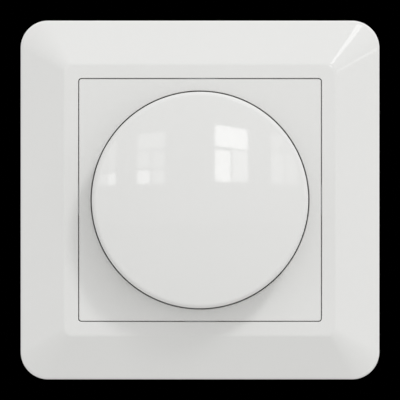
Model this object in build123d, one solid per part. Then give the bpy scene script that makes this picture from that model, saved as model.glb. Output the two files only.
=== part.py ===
from build123d import *
from math import cos, radians, sin, sqrt
import os

# Rotary push dimmer for a flush wall box: turn the knob to dim, press it to switch.
# Every piece is modelled lying on its back: x to the right, y up the wall and z out of
# the wall into the room. z = 0 is the wall's surface, and the knob turns about x = y = 0.
# stand_up() at the end turns the pieces, so that the face looks along -Y and +Z is up.

# Driving sizes in millimetres: the knob
knob_diameter = 49.0
knob_gap = 0.3  # all round, between the knob and the well that it sinks into
knob_side_height = 8.6  # the side of the knob that stands above the centre plate
knob_dome_radius = 160.0
knob_edge_radius = 1.2
knob_wall = 1.8
knob_roof = 2.0
knob_sink = 1.2  # how far the skirt reaches down into the well
knob_rib_count = 6
knob_rib_thickness = 1.2
skirt_chamfer = 0.3
hub_wall = 2.45
hub_slit = 1.0
hub_ring_thickness = 0.6
hub_ring_height = 2.2
hub_ring_mouth = 2.0

# The centre plate and the cover frame
plate_land = 2.675  # the plate's narrowest strip beside the knob
plate_corner_radius = 0.6
plate_wall = 1.6
plate_roof = 1.8
plate_floor = 1.8
plate_edge_radius = 0.25
well_edge_radius = 0.2
plate_gap = 0.15  # all round, between the plate and the frame
peg_radius = 1.5
peg_x = 13.0
peg_y = -10.0
border_width = 3.175  # the frame's flat strip round the centre plate
aperture_edge_radius = 0.2
border_corner_radius = 1.8
border_rise = 0.2  # the flat strip stands this much above the centre plate
border_edge_radius = 1.5
frame_overhang = 5.25  # past the support plate, on each side
frame_corner_radius = 6.2
frame_rim_height = 5.0
frame_rim_radius = 0.8
frame_wall = 1.8
aperture_wall = 1.6
ledge_width = 1.6
ledge_thickness = 1.5
rib_thickness = 1.2
rib_offset = 15.0
screw_head_room = 4.2

# The support plate
fixing_spacing = 60.0  # between the screws of a standard flush box
fixing_edge = 5.5  # from a fixing screw's axis to the plate's edge
fixing_hole_radius = 2.1
fixing_slot_travel = 5.0
support_thickness = 1.5
support_corner_radius = 8.0
support_edge_radius = 0.4  # the pressing's rolled edge, on its front
corner_hole_inset = 7.2
corner_hole_radius = 1.6
edge_notch_width = 8.0
edge_notch_depth = 1.4
edge_notch_offset = 14.0

# The threaded bushing and what it clamps
bushing_radius = 5.0
bushing_spare = 0.8  # thread that shows above the plate nut
thread_fit = 0.05
hole_fit = 0.15
washer_thickness = 0.6
washer_radius = 7.4
lock_tooth_count = 8
nut_height = 2.0
nut_across_flats = 13.0
nut_to_floor = 0.3
nut_corner_trim = 0.3
nut_chamfer = 0.4
bushing_chamfer = 0.5
lock_tooth_gap = 1.4  # between two of the lock washer's teeth
lock_tooth_length = 1.05

# The shaft and the control that it turns
shaft_radius = 3.0
shaft_flat = 2.1  # from the axis to the flat
running_fit = 0.05
push_travel = 1.5
push_spare = 0.5  # clearance left when the knob is pressed home
shaft_grip = 5.8  # length of the shaft inside the knob's hub
clip_thickness = 0.7
clip_radius = 4.4
groove_depth = 0.5
shaft_chamfer = 0.4
clip_play = 0.2
can_radius = 10.0
can_wall = 0.6
can_rear_wall = 0.8
flange_thickness = 1.2
rotor_disc = 1.8
rotor_hub_radius = 4.4
rotor_gap = 0.3
track_thickness = 1.0
wiper_thickness = 0.3
wiper_finger_width = 1.5
wiper_finger_height = 2.1
contact_gap = 0.1
turn_each_way = 140.0  # degrees
stop_lug_half_angle = 12.0
stop_spare_angle = 0.5

# The push switch
switch_side = 13.0
switch_floor = 1.2
slider_side = 7.8
slider_height = 3.0
slide_fit = 0.2
slider_over_travel = 1.3
bridge_thickness = 0.4
bridge_width = 1.8
spring_radius = 1.9
spring_wire_radius = 0.2
spring_turns = 5
spring_pocket_depth = 1.4
contact_pin_radius = 0.45

# The housing and the circuit board
housing_wall = 1.6
housing_rear_wall = 1.6
housing_corner_cut = 11.0
housing_rear_chamfer = 1.0
housing_edge_radius = 1.2
wire_funnel = 0.7
channel_lip_depth = 0.6
channel_lip_height = 0.7
vent_count = 6  # slots in the rear wall, behind the warm parts
vent_pitch = 3.0
vent_width = 1.2
vent_length = 9.0
lid_thickness = 1.2
lid_fit = 0.15
board_thickness = 1.6
board_fit = 0.3
board_post_height = 4.3
board_post_radius = 1.5
pin_hole_fit = 0.25
boss_radius = 2.6
boss_length = 12.8
boss_inset = 1.9  # from a boss's axis to the inside of the corner wall
housing_screw_radius = 1.2
housing_screw_head_radius = 2.3
housing_screw_head_height = 1.5
housing_screw_length = 12.0

# The spreading claws
claw_channel_width = 16.0
claw_channel_depth = 8.0
claw_ledge = 2.3
claw_screw_inset = 5.0  # from the housing's side to the claw screw's axis
claw_pivot_inset = 1.7
claw_width = 12.0
claw_thickness = 1.2
claw_leg_length = 14.4
claw_tooth_reach = 2.9
claw_tooth_count = 4
claw_tooth_depth = 1.44
claw_knuckle_radius = 0.9
claw_pivot_height = 1.1  # above the ledge
claw_slot_length = 4.0
claw_slot_width = 3.5
claw_screw_radius = 1.5
claw_screw_head_radius = 2.8
claw_screw_head_height = 2.0
seat_gap = 0.05

# The terminals, from the circuit board's edge down to the housing's lower side
terminal_count = 3
terminal_pitch = 9.0
bar_pin_gap = 0.4
bar_pin_thickness = 0.8
bar_pin_width = 1.2
board_edge_margin = 0.5
pocket_fit = 0.2
pocket_wall = 0.9
cage_end_wall = 1.0
cage_side_wall = 1.1
cage_depth = 6.0
wire_space = 4.5
bar_thickness = 1.0
bar_width = 4.6
cage_thread_wall = 1.7
clamp_travel = 3.3
screw_shelf = 1.2
screw_head_pocket = 2.4
screw_pad_inset = 0.5  # from the housing's side to the block that guides the screws
terminal_screw_radius = 1.7
terminal_head_radius = 2.9
terminal_head_height = 2.0
head_fit = 0.25
divider_thickness = 1.2

# The parts on the circuit board
choke_radius = 5.6
choke_bore = 2.9
choke_width = 6.0
choke_wire = 0.6
choke_turns = 26
triac_length = 9.2
triac_tab_length = 6.4
triac_width = 10.0
triac_body_height = 4.4
triac_tab_thickness = 1.3
triac_lead_pitch = 2.54
triac_lead_width = 0.8
triac_lead_thickness = 0.5
triac_tab_inset = 2.0  # from the body's far end to the end of the tab inside it
triac_lead_root = 1.0  # length of the leads that overlaps the joint inside the body
pad_thickness = 0.3
rivet_radius = 1.5
rivet_head_radius = 2.6
rivet_head_height = 0.9
rivet_head_round = 0.63
rivet_tail_radius = 2.2
film_length = 11.2
film_width = 6.0
film_height = 10.0
film_lead_inset = 1.5
film_edge_radius = 0.6
timing_length = 5.0
timing_width = 2.8
timing_height = 7.0
timing_lead_inset = 0.5
timing_edge_radius = 0.4
fuse_radius = 3.3
fuse_height = 7.0
fuse_lead_pitch = 2.6
fuse_edge_radius = 0.5
resistor_radius = 1.1
resistor_length = 5.4
resistor_pitch = 3.0
resistor_lead_reach = 0.5
diac_radius = 0.9
diac_length = 3.6
diac_lead_reach = 0.6
lead_radius = 0.35
lead_below_board = 1.2
standing_gap = 0.1
lead_in_case = 0.5
drive_width = 3.0
drive_thickness = 0.8
drive_depth = 1.0
head_round_share = 0.45  # of a screw head's height
point_share = 0.3  # of a shank's radius, bevelled at its point
weld = 0.1  # how far two forms of one piece overlap
match = 0.001  # places closer than this are the same

# Heights above the wall, worked out from the stack on the bushing
knob_radius = knob_diameter / 2
lock_washer_top = support_thickness + washer_thickness
control_nut_top = lock_washer_top + nut_height
floor_bottom = control_nut_top + nut_to_floor
floor_top = floor_bottom + plate_floor
plate_washer_top = floor_top + washer_thickness
plate_nut_top = plate_washer_top + nut_height
bushing_top = plate_nut_top + bushing_spare
skirt_bottom = floor_top + push_travel + push_spare
plate_face = skirt_bottom + knob_sink
knob_edge = plate_face + knob_side_height
hub_bottom = bushing_top + push_travel + push_spare
shaft_top = hub_bottom + shaft_grip
frame_face = plate_face + border_rise
ledge_top = support_thickness + ledge_thickness

# Outlines of the face
well_radius = knob_radius + knob_gap
plate_side = 2 * (well_radius + plate_land)
aperture_side = plate_side + 2 * plate_gap
border_side = aperture_side + 2 * border_width
support_side = fixing_spacing + 2 * fixing_edge
frame_side = support_side + 2 * frame_overhang
hub_radius = shaft_radius + running_fit + hub_wall

# Depths behind the wall, negative, from the control at the front to the housing's rear
clip_front = -flange_thickness - clip_play
clip_rear = clip_front - clip_thickness
rotor_front = clip_rear - push_travel - clip_play
rotor_rear = rotor_front - rotor_disc
track_front = rotor_rear - wiper_thickness - wiper_finger_height - contact_gap
can_floor = track_front - track_thickness
can_rear = can_floor - can_rear_wall
slider_front = can_rear - switch_floor / 2
slider_rear = slider_front - slider_height
switch_pit = slider_rear - push_travel - slider_over_travel
board_front = switch_pit - switch_floor
board_rear = board_front - board_thickness
housing_floor = board_rear - board_post_height
housing_rear = housing_floor - housing_rear_wall
shaft_rear = slider_front + contact_gap

# The terminals' stack, downwards from the push switch
switch_half = switch_side / 2
pin_top = -switch_half - bar_pin_gap
pin_bottom = pin_top - bar_pin_thickness
board_edge = pin_bottom - board_edge_margin
pocket_wall_top = board_edge - pocket_fit
pocket_top = pocket_wall_top - pocket_wall
cage_top = pocket_top - pocket_fit
wire_top = cage_top - cage_end_wall
bar_top = wire_top - wire_space
bar_bottom = bar_top - bar_thickness
thread_wall_top = bar_bottom - pocket_fit
cage_bottom = thread_wall_top - cage_thread_wall
shelf_top = cage_bottom - clamp_travel - pocket_fit
shelf_bottom = shelf_top - screw_shelf
housing_half = screw_head_pocket - shelf_bottom
inner_half = housing_half - housing_wall
cage_rear = housing_floor + 2 * pocket_fit
cage_front = cage_rear + cage_depth
cage_middle = (cage_rear + cage_front) / 2
bar_front = cage_front + 2.5 * bar_thickness
cage_width = terminal_pitch - divider_thickness - 2 * pocket_fit
terminal_places = [
    (place - (terminal_count - 1) / 2) * terminal_pitch for place in range(terminal_count)
]

# Places in plan
channel_floor = housing_half - claw_channel_depth
channel_inner = channel_floor - housing_wall
channel_half = claw_channel_width / 2
upper_zone_bottom = channel_half + housing_wall
upper_zone_middle = (upper_zone_bottom + inner_half) / 2
corner_line = 2 * housing_half - housing_corner_cut  # |x| + |y| along a cut corner
inner_corner_line = corner_line - sqrt(2) * housing_wall
boss_place = (inner_corner_line - sqrt(2) * boss_inset) / 2
claw_screw_x = housing_half - claw_screw_inset
claw_pivot_x = housing_half - claw_pivot_inset
claw_ledge_top = housing_rear + claw_ledge
claw_pivot_z = claw_ledge_top + claw_pivot_height
claw_screw_end = claw_ledge_top + contact_gap
corner_signs = [(-1, -1), (1, -1), (1, 1), (-1, 1)]
triac_end = boss_place - boss_radius - 3 * triac_lead_width
triac_start = triac_end - triac_length - triac_tab_length
rivet_x = triac_start + triac_tab_length / 2
choke_outer = choke_radius + choke_wire
choke_x = -boss_place + boss_radius + choke_outer + board_fit
choke_z = board_front + standing_gap + choke_outer
choke_lead_angle = 1.5 * 360 / choke_turns  # the leads leave from the second turns each way
film_x = choke_x + choke_outer + board_fit + film_length / 2
side_column = (switch_half + channel_inner) / 2  # between the switch and the channel wall
fuse_y = 2.0
timing_y = 6.0
diac_y = -3.6
resistor_y = -0.8


def slab(outline, low, high):
    """A flat outline raised from one height to another."""
    return extrude(Pos(0, 0, low) * outline, amount=high - low)


def block(x_low, x_high, y_low, y_high, z_low, z_high):
    """A box between two corners."""
    middle = Pos((x_low + x_high) / 2, (y_low + y_high) / 2, (z_low + z_high) / 2)
    return middle * Box(x_high - x_low, y_high - y_low, z_high - z_low)


def rod(radius, low, high, x=0.0, y=0.0):
    """A round rod along z."""
    return Pos(x, y, (low + high) / 2) * Cylinder(radius, high - low)


def pipe(outer, inner, low, high, x=0.0, y=0.0):
    """A round tube along z."""
    return rod(outer, low, high, x, y) - rod(inner, low, high, x, y)


def rounded_square(side, radius):
    return RectangleRounded(side, side, radius)


def corner_cut_square(half, line):
    """A square of the given half side whose corners are cut where |x| + |y| = line."""
    short = line - half
    points = [
        (half, short), (short, half), (-short, half), (-half, short),
        (-half, -short), (-short, -half), (short, -half), (half, -short),
    ]
    return Polygon(*points, align=None)


def d_section(radius, flat):
    """A circle with a flat on its +x side."""
    keep = Pos(flat - radius, 0) * Rectangle(2 * radius, 2 * radius + 1)
    return Circle(radius) & keep


def sector(inner, outer, middle_angle, half_angle):
    """A piece of a flat ring, up to a quarter turn each side of its middle angle."""
    reach = outer / cos(radians(half_angle)) * 1.01
    corners = [
        (reach * cos(radians(middle_angle + a)), reach * sin(radians(middle_angle + a)))
        for a in (-half_angle, half_angle)
    ]
    wedge = Polygon((0, 0), *corners, align=None)
    return (Circle(outer) - Circle(inner)) & wedge


def dome_height(radius, across):
    """Height of the knob's dome of this sphere radius, at a distance from the axis."""
    centre = knob_edge - sqrt(knob_dome_radius**2 - knob_radius**2)
    return centre + sqrt(radius**2 - across**2)


def cross_drive(top):
    """The cross in a screw's head, cut down from the top."""
    arm = block(-drive_width / 2, drive_width / 2, -drive_thickness / 2, drive_thickness / 2,
                top - drive_depth, top + 1)
    return arm + Rot(0, 0, 90) * arm


def pan_screw(head_radius, head_height, shank_radius, length):
    """A pan-head screw: its head stands on z = 0 and its shank points down."""
    head = rod(head_radius, 0, head_height)
    head = fillet(head.edges().group_by(Axis.Z)[-1], head_height * head_round_share)
    shank = rod(shank_radius, -length, weld)
    tip = shank.edges().group_by(Axis.Z)[0]
    shank = chamfer(tip, shank_radius * point_share)
    return head + shank - cross_drive(head_height)


def edges_within(solid, height, reach):
    """The edges of a solid that lie flat at a height, no further out than a reach."""
    found = []
    for edge in solid.edges():
        box = edge.bounding_box()
        flat = abs(box.min.Z - height) < match and abs(box.max.Z - height) < match
        farthest = max(abs(box.min.X), abs(box.max.X), abs(box.min.Y), abs(box.max.Y))
        if flat and farthest < reach + match:
            found.append(edge)
    return found


def make_cover_frame():
    """The outer frame: a hollow shell with a sloped face and a ledge that the plate clamps."""
    head_half = border_side / 2
    rise = frame_face - frame_rim_height
    slope = rise / (frame_side / 2 - head_half)
    drop = frame_wall * sqrt(1 + slope**2)  # the wall's thickness, measured downwards
    inner_side = frame_side - 2 * frame_wall
    inner_radius = frame_corner_radius - frame_wall
    inner_foot = frame_rim_height + slope * frame_wall - drop
    inner_face = frame_face - frame_wall
    inner_head = frame_side - 2 * (inner_face - frame_rim_height + drop) / slope

    outside = slab(rounded_square(frame_side, frame_corner_radius), 0, frame_rim_height)
    outside += loft(
        [
            Pos(0, 0, frame_rim_height) * rounded_square(frame_side, frame_corner_radius),
            Pos(0, 0, frame_face) * rounded_square(border_side, border_corner_radius),
        ],
        ruled=True,
    )
    outside = fillet(outside.edges().group_by(Axis.Z)[-1], border_edge_radius)
    rim = [e for e in outside.edges() if abs(e.center().Z - frame_rim_height) < match
           and e.bounding_box().size.Z < match]
    outside = fillet(rim, frame_rim_radius)

    hollow = slab(rounded_square(inner_side, inner_radius), 0, inner_foot)
    hollow += loft(
        [
            Pos(0, 0, inner_foot) * rounded_square(inner_side, inner_radius),
            Pos(0, 0, inner_face) * rounded_square(inner_head, border_corner_radius),
        ],
        ruled=True,
    )
    frame = outside - hollow

    collar_side = aperture_side + 2 * aperture_wall
    collar = slab(
        rounded_square(collar_side, plate_corner_radius + plate_gap + aperture_wall),
        support_thickness, inner_face + aperture_wall / 2,
    )
    frame += collar
    low = support_thickness + contact_gap
    for turn in (0, 90, 180, 270):
        for offset in (-rib_offset, rib_offset):
            rib = block(collar_side / 2 - weld, inner_side / 2 + weld,
                        offset - rib_thickness / 2, offset + rib_thickness / 2, low, inner_face)
            frame += Rot(0, 0, turn) * (rib & hollow)
    aperture = slab(rounded_square(aperture_side, plate_corner_radius + plate_gap),
                    ledge_top, frame_face + 1)
    ledge_hole = slab(rounded_square(aperture_side - 2 * ledge_width, plate_corner_radius),
                      -1, ledge_top + 1)
    frame -= aperture + ledge_hole
    for turn in (0, 90, 180, 270):
        head_room = rod(screw_head_room, -1, support_thickness + screw_head_room,
                        fixing_spacing / 2)
        frame -= Rot(0, 0, turn) * head_room
    return fillet(edges_within(frame, frame_face, aperture_side / 2), aperture_edge_radius)


def make_centre_plate():
    """The square plate round the knob: a skirt, a round well with a floor, and two pegs."""
    plate = slab(rounded_square(plate_side, plate_corner_radius), ledge_top, plate_face)
    plate = fillet(plate.edges().group_by(Axis.Z)[-1], plate_edge_radius)
    inside = rounded_square(plate_side - 2 * plate_wall, plate_corner_radius)
    plate -= slab(inside, ledge_top, floor_bottom)
    plate -= slab(inside - Circle(well_radius + plate_wall), floor_bottom,
                  plate_face - plate_roof)
    plate -= rod(well_radius, floor_top, plate_face + 1)
    plate = fillet(edges_within(plate, plate_face, well_radius), well_edge_radius)
    plate -= rod(bushing_radius + hole_fit, floor_bottom - 1, floor_top + 1)
    root = floor_bottom + plate_floor / 2
    for sign in (-1, 1):
        plate += rod(peg_radius, contact_gap, root, sign * peg_x, sign * peg_y)
    return plate


def make_knob():
    """The big round knob: a domed shell with a split hub, ribs and a D-shaped bore."""
    inner_radius = knob_radius - knob_wall
    inner_sphere = knob_dome_radius - knob_roof
    outer_arc = ThreePointArc(
        (knob_radius, knob_edge),
        (knob_radius / 2, dome_height(knob_dome_radius, knob_radius / 2)),
        (0, dome_height(knob_dome_radius, 0)),
    )
    inner_arc = ThreePointArc(
        (0, dome_height(inner_sphere, 0)),
        (inner_radius / 2, dome_height(inner_sphere, inner_radius / 2)),
        (inner_radius, dome_height(inner_sphere, inner_radius)),
    )
    outline = [
        outer_arc,
        Line(outer_arc @ 1, inner_arc @ 0),
        inner_arc,
        Line(inner_arc @ 1, (inner_radius, skirt_bottom)),
        Line((inner_radius, skirt_bottom), (knob_radius, skirt_bottom)),
        Line((knob_radius, skirt_bottom), (knob_radius, knob_edge)),
    ]
    shell = revolve(Plane.XZ * make_face(outline), axis=Axis.Z)
    round_edges = shell.edges().filter_by(GeomType.CIRCLE)
    outer_edges = [e for e in round_edges if abs(e.radius - knob_radius) < match]
    top_edge = [e for e in outer_edges if e.center().Z > plate_face]
    shell = fillet(top_edge, knob_edge_radius)
    shell = chamfer([e for e in shell.edges().filter_by(GeomType.CIRCLE)
                     if abs(e.radius - knob_radius) < match and e.center().Z < plate_face],
                    skirt_chamfer)

    ring_top = hub_bottom + 2 * knob_gap + hub_ring_height
    hub_top = dome_height(inner_sphere, hub_radius) + knob_roof / 2
    hub = rod(hub_radius, hub_bottom, hub_top)
    knob = shell + hub
    rib_bottom = ring_top + knob_gap
    rib_top = dome_height(inner_sphere, inner_radius) + knob_roof / 4
    for number in range(knob_rib_count):
        rib = block(hub_radius - weld, inner_radius + weld,
                    -knob_rib_thickness / 2, knob_rib_thickness / 2, rib_bottom, rib_top)
        knob += Rot(0, 0, (number + 0.5) * 360 / knob_rib_count) * rib
    knob -= slab(d_section(shaft_radius + running_fit, shaft_flat + running_fit),
                 hub_bottom - 1, shaft_top + push_spare / 2)
    slit = block(-hub_slit / 2, hub_slit / 2, -hub_radius - 1, hub_radius + 1,
                 hub_bottom - 1, ring_top)
    knob -= slit
    return knob


def make_hub_ring():
    """The spring steel ring that squeezes the knob's split hub onto the shaft."""
    low = hub_bottom + knob_gap
    ring = pipe(hub_radius + running_fit + hub_ring_thickness, hub_radius + running_fit,
                low, low + hub_ring_height)
    reach = hub_radius + 2 * hub_ring_thickness
    return ring - block(0, reach, -hub_ring_mouth / 2, hub_ring_mouth / 2,
                        low - 1, low + hub_ring_height + 1)


def make_nut(low):
    """A thin hexagonal nut for the bushing's thread."""
    blank = slab(RegularPolygon(nut_across_flats / 2, 6, major_radius=False), low,
                 low + nut_height)
    cone = rod(nut_across_flats / 2 / cos(radians(30)) - nut_corner_trim, low,
               low + nut_height)
    cone = chamfer(cone.edges().group_by(Axis.Z)[-1], nut_chamfer)
    return (blank & cone) - rod(bushing_radius + thread_fit, low - 1, low + nut_height + 1)


def make_lock_washer():
    """A lock washer with inward teeth, between the support plate and the control's nut."""
    washer = pipe(washer_radius, bushing_radius + hole_fit, support_thickness, lock_washer_top)
    notch = block(0, bushing_radius + hole_fit + lock_tooth_length, -lock_tooth_gap / 2,
                  lock_tooth_gap / 2, support_thickness - 1, lock_washer_top + 1)
    for number in range(lock_tooth_count):
        washer -= Rot(0, 0, number * 360 / lock_tooth_count) * notch
    return washer


def make_plate_washer():
    return pipe(washer_radius, bushing_radius + hole_fit, floor_top, plate_washer_top)


def make_support_plate():
    """The pressed steel plate that is screwed to the wall box and carries the rest."""
    plate = slab(rounded_square(support_side, support_corner_radius), 0, support_thickness)
    plate = fillet(plate.edges().group_by(Axis.Z)[-1], support_edge_radius)

    def drill(radius, x, y):
        return rod(radius, -1, support_thickness + 1, x, y)

    plate -= drill(bushing_radius + hole_fit, 0, 0)
    plate -= drill(rivet_radius + hole_fit, rivet_x, upper_zone_middle)
    for sign in (-1, 1):
        plate -= drill(claw_screw_radius + hole_fit, sign * claw_screw_x, 0)
        plate -= drill(peg_radius + hole_fit, sign * peg_x, sign * peg_y)
        plate -= drill(fixing_hole_radius, 0, sign * fixing_spacing / 2)
        slot = SlotCenterToCenter(fixing_slot_travel, 2 * fixing_hole_radius, rotation=90)
        plate -= slab(Pos(sign * fixing_spacing / 2, 0) * slot, -1, support_thickness + 1)
    corner = support_side / 2 - corner_hole_inset
    for x, y in corner_signs:
        plate -= drill(housing_screw_radius + hole_fit, x * boss_place, y * boss_place)
        plate -= drill(corner_hole_radius, x * corner, y * corner)
    notch = block(support_side / 2 - edge_notch_depth, support_side / 2 + 1,
                  edge_notch_offset - edge_notch_width / 2,
                  edge_notch_offset + edge_notch_width / 2, -1, support_thickness + 1)
    for turn in (0, 90, 180, 270):
        plate -= Rot(0, 0, turn) * notch
        plate -= Rot(0, 0, turn) * mirror(notch, Plane.XZ)
    return plate


def cavity_outline(clearance):
    """The inside of the housing in plan, between the two claw channels."""
    line = inner_corner_line - sqrt(2) * clearance
    outline = corner_cut_square(inner_half - clearance, line)
    channel = Rectangle(2 * (housing_half - channel_inner + clearance),
                        claw_channel_width + 2 * (housing_wall + clearance))
    for sign in (-1, 1):
        outline -= Pos(sign * housing_half, 0) * channel
    return outline


def make_housing_shell():
    """The moulded cup behind the wall, with claw channels, bosses and terminal pockets."""
    shell = slab(corner_cut_square(housing_half, corner_line), housing_rear, 0)
    shell = fillet(shell.edges().filter_by(Axis.Z), housing_edge_radius)
    shell = chamfer(shell.edges().group_by(Axis.Z)[0], housing_rear_chamfer)
    cavity = slab(cavity_outline(0), housing_floor, 1)
    shell -= cavity
    for sign in (-1, 1):
        near, far = sorted((sign * channel_floor, sign * (housing_half + 1)))
        shell -= block(near, far, -channel_half, channel_half, claw_ledge_top, 1)
        lip_near, lip_far = sorted((sign * housing_half,
                                    sign * (housing_half - channel_lip_depth)))
        shell += block(lip_near, lip_far, -channel_half, channel_half,
                       claw_ledge_top - weld, claw_ledge_top + channel_lip_height)

    inside = corner_cut_square(inner_half + weld, inner_corner_line + weld)
    for x, y in corner_signs:
        boss = Pos(x * boss_place, y * boss_place) * Circle(boss_radius)
        shell += slab(boss & inside, -lid_thickness - boss_length, -lid_thickness)
    post_y = upper_zone_bottom + board_post_radius
    post_x = channel_inner - 2 * board_post_radius
    for x in (-post_x, post_x):
        for y in (-post_x / 2, post_y):
            shell += rod(board_post_radius, housing_floor - weld, board_rear, x, y)

    # The terminals' pockets: dividers, an upper wall and a shelf for the screw heads
    low, high = housing_floor - weld, cage_front + bar_thickness
    row_half = terminal_count * terminal_pitch / 2 + divider_thickness / 2
    shell += block(-row_half, row_half, -housing_half + screw_pad_inset, shelf_top, low, high)
    shell += block(-row_half, row_half, pocket_top, pocket_wall_top, low, high)
    for number in range(terminal_count + 1):
        x = (number - terminal_count / 2) * terminal_pitch
        shell += block(x - divider_thickness / 2, x + divider_thickness / 2,
                       shelf_top - weld, pocket_top + weld, low, high)
    for x in terminal_places:
        screw_hole = Pos(x, 0, cage_middle) * Rot(90, 0, 0)
        shell -= screw_hole * rod(terminal_screw_radius + head_fit, -shelf_top - 1,
                                  housing_half + 1)
        shell -= screw_hole * rod(terminal_head_radius + head_fit, -shelf_bottom,
                                  housing_half + 1)
        window = Rectangle(bar_width, wire_space)
        middle = Pos(x, (bar_top + wire_top) / 2)
        shell -= slab(middle * window, housing_rear - 1, housing_floor + 1)
        mouth = Rectangle(bar_width + 2 * wire_funnel, wire_space + 2 * wire_funnel)
        shell -= loft([Pos(0, 0, housing_rear) * middle * mouth,
                       Pos(0, 0, housing_rear + wire_funnel) * middle * window], ruled=True)

    for number in range(vent_count):
        x = (number - (vent_count - 1) / 2) * vent_pitch
        vent = Pos(x, upper_zone_middle) * Rot(0, 0, 90) * SlotOverall(vent_length, vent_width)
        shell -= slab(vent, housing_rear - 1, housing_floor + 1)

    for x, y in corner_signs:
        shell -= rod(housing_screw_radius + running_fit,
                     -lid_thickness - housing_screw_length, 1, x * boss_place, y * boss_place)
    return shell


def make_insulating_lid():
    """The thin lid under the support plate that closes the housing."""
    lid = slab(cavity_outline(lid_fit), -lid_thickness, 0)
    lid -= rod(can_radius + knob_gap, -lid_thickness - 1, 1)
    for x, y in corner_signs:
        lid -= rod(housing_screw_radius + hole_fit, -lid_thickness - 1, 1,
                   x * boss_place, y * boss_place)
    margin = 2 * lid_fit
    lid -= block(triac_start - margin, triac_end + margin,
                 upper_zone_middle - triac_width / 2 - margin,
                 upper_zone_middle + triac_width / 2 + margin, -lid_thickness - 1, 1)
    return lid


def make_control_bushing():
    """The brass bushing: a flange that closes the control's can, and a threaded barrel."""
    bushing = rod(can_radius, -flange_thickness, 0) + rod(bushing_radius, -weld, bushing_top)
    bushing = chamfer(bushing.edges().group_by(Axis.Z)[-1], bushing_chamfer)
    return bushing - rod(shaft_radius + running_fit, -flange_thickness - 1, bushing_top + 1)


def stop_tab_half_angle():
    """Half the angle that the can's stop takes up, from the knob's turn each way."""
    return 180 - turn_each_way - stop_lug_half_angle - stop_spare_angle


def make_control_can():
    """The control's metal can, with an inward stop at the bottom and a hole for the shaft."""
    can = rod(can_radius, can_rear, -flange_thickness)
    can -= rod(can_radius - can_wall, can_floor, 1)
    can += slab(sector(can_radius - 2 * can_wall - rotor_gap, can_radius - can_wall / 2, -90,
                       stop_tab_half_angle()), rotor_rear, rotor_front)
    return can - rod(shaft_radius + rotor_gap, can_rear - 1, can_floor + 1)


def make_rotor():
    """The disc that the shaft turns, with a stop lug at the top and a keyed bore."""
    disc_radius = can_radius - 2 * can_wall - rotor_gap
    outline = Circle(disc_radius - rotor_gap)
    outline += sector(rotor_hub_radius, can_radius - can_wall - rotor_gap, 90, stop_lug_half_angle)
    rotor = slab(outline, rotor_rear, rotor_front)
    rotor += rod(rotor_hub_radius, can_floor + contact_gap, rotor_front - weld)
    bore = d_section(shaft_radius + running_fit, shaft_flat + running_fit)
    return rotor - slab(bore, can_floor - 1, rotor_front + 1)


def make_wiper():
    """The brass wiper on the rotor, with two bent fingers that run on the track."""
    inner = rotor_hub_radius + running_fit
    outer = can_radius - 2 * can_wall - 3 * rotor_gap
    low = rotor_rear - wiper_thickness
    wiper = pipe(outer, inner, low, rotor_rear)
    tip = low - wiper_finger_height
    half = wiper_finger_width / 2
    leg = block(outer - wiper_thickness, outer, -half, half, tip, low + weld)
    foot = block(outer - wiper_finger_width, outer, -half, half, tip, tip + wiper_thickness)
    for turn in (60, 120):
        wiper += Rot(0, 0, turn) * (leg + foot)
    return wiper


def make_track():
    """The resistance track's wafer, on the can's rear wall."""
    return pipe(can_radius - can_wall - running_fit, rotor_hub_radius + rotor_gap,
                can_floor, track_front)


def make_shaft():
    """The control's shaft: flats at both ends, and a groove for its clip."""
    shaft = rod(shaft_radius, shaft_rear, shaft_top)
    shaft = chamfer(shaft.edges().group_by(Axis.Z)[-1], shaft_chamfer)
    off_cut = block(shaft_flat, shaft_radius + 1, -shaft_radius - 1, shaft_radius + 1, 0, 1)
    upper = Pos(0, 0, hub_bottom) * block(shaft_flat, shaft_radius + 1, -shaft_radius - 1,
                                          shaft_radius + 1, 0, shaft_grip + 1)
    lower = block(shaft_flat, shaft_radius + 1, -shaft_radius - 1, shaft_radius + 1,
                  shaft_rear - 1, clip_rear - clip_play / 2)
    groove = pipe(shaft_radius + 1, shaft_radius - groove_depth,
                  clip_rear - running_fit, clip_front + running_fit)
    return shaft - upper - lower - groove


def make_shaft_clip():
    """The open clip in the shaft's groove that stops it pulling out."""
    clip = pipe(clip_radius, shaft_radius - groove_depth + running_fit, clip_rear, clip_front)
    mouth = shaft_radius - groove_depth
    return clip - block(-mouth, mouth, -clip_radius - 1, 0, clip_rear - 1, clip_front + 1)


def make_switch_body():
    """The push switch's moulded body, clamped between the can and the circuit board."""
    body = block(-switch_half, switch_half, -switch_half, switch_half, board_front, can_rear)
    pit = slider_side / 2 + slide_fit
    body -= block(-pit, pit, -pit, pit, switch_pit, can_rear + 1)
    for x in contact_places():
        body -= rod(contact_pin_radius + running_fit, board_front - 1, switch_pit + 1,
                    x, bridge_y())
    return body


def bridge_y():
    """Where the switch's moving contact lies, below the return spring."""
    return -slider_side / 2 + bridge_width / 2 + slide_fit


def contact_places():
    reach = slider_side / 2 - 3 * contact_pin_radius
    return (-reach, reach)


def make_switch_slider():
    """The block that the shaft pushes, with a round pocket for the return spring."""
    half = slider_side / 2
    slider = block(-half, half, -half, half, slider_rear, slider_front)
    pocket = spring_radius + 3 * spring_wire_radius
    return slider - rod(pocket, slider_rear - 1, slider_rear + spring_pocket_depth, 0, spring_y())


def spring_y():
    """The return spring stands clear of the moving contact."""
    return slider_side / 2 - spring_radius - 5 * spring_wire_radius


def make_switch_bridge():
    half = slider_side / 2
    return block(-half, half, bridge_y() - bridge_width / 2, bridge_y() + bridge_width / 2,
                 slider_rear - bridge_thickness, slider_rear)


def make_switch_contacts():
    """The two fixed contacts, which go through the circuit board."""
    top = slider_rear - push_travel - bridge_thickness - contact_gap
    return Compound([
        rod(contact_pin_radius, board_rear - lead_below_board, top, x, bridge_y()).solid()
        for x in contact_places()
    ])


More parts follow.
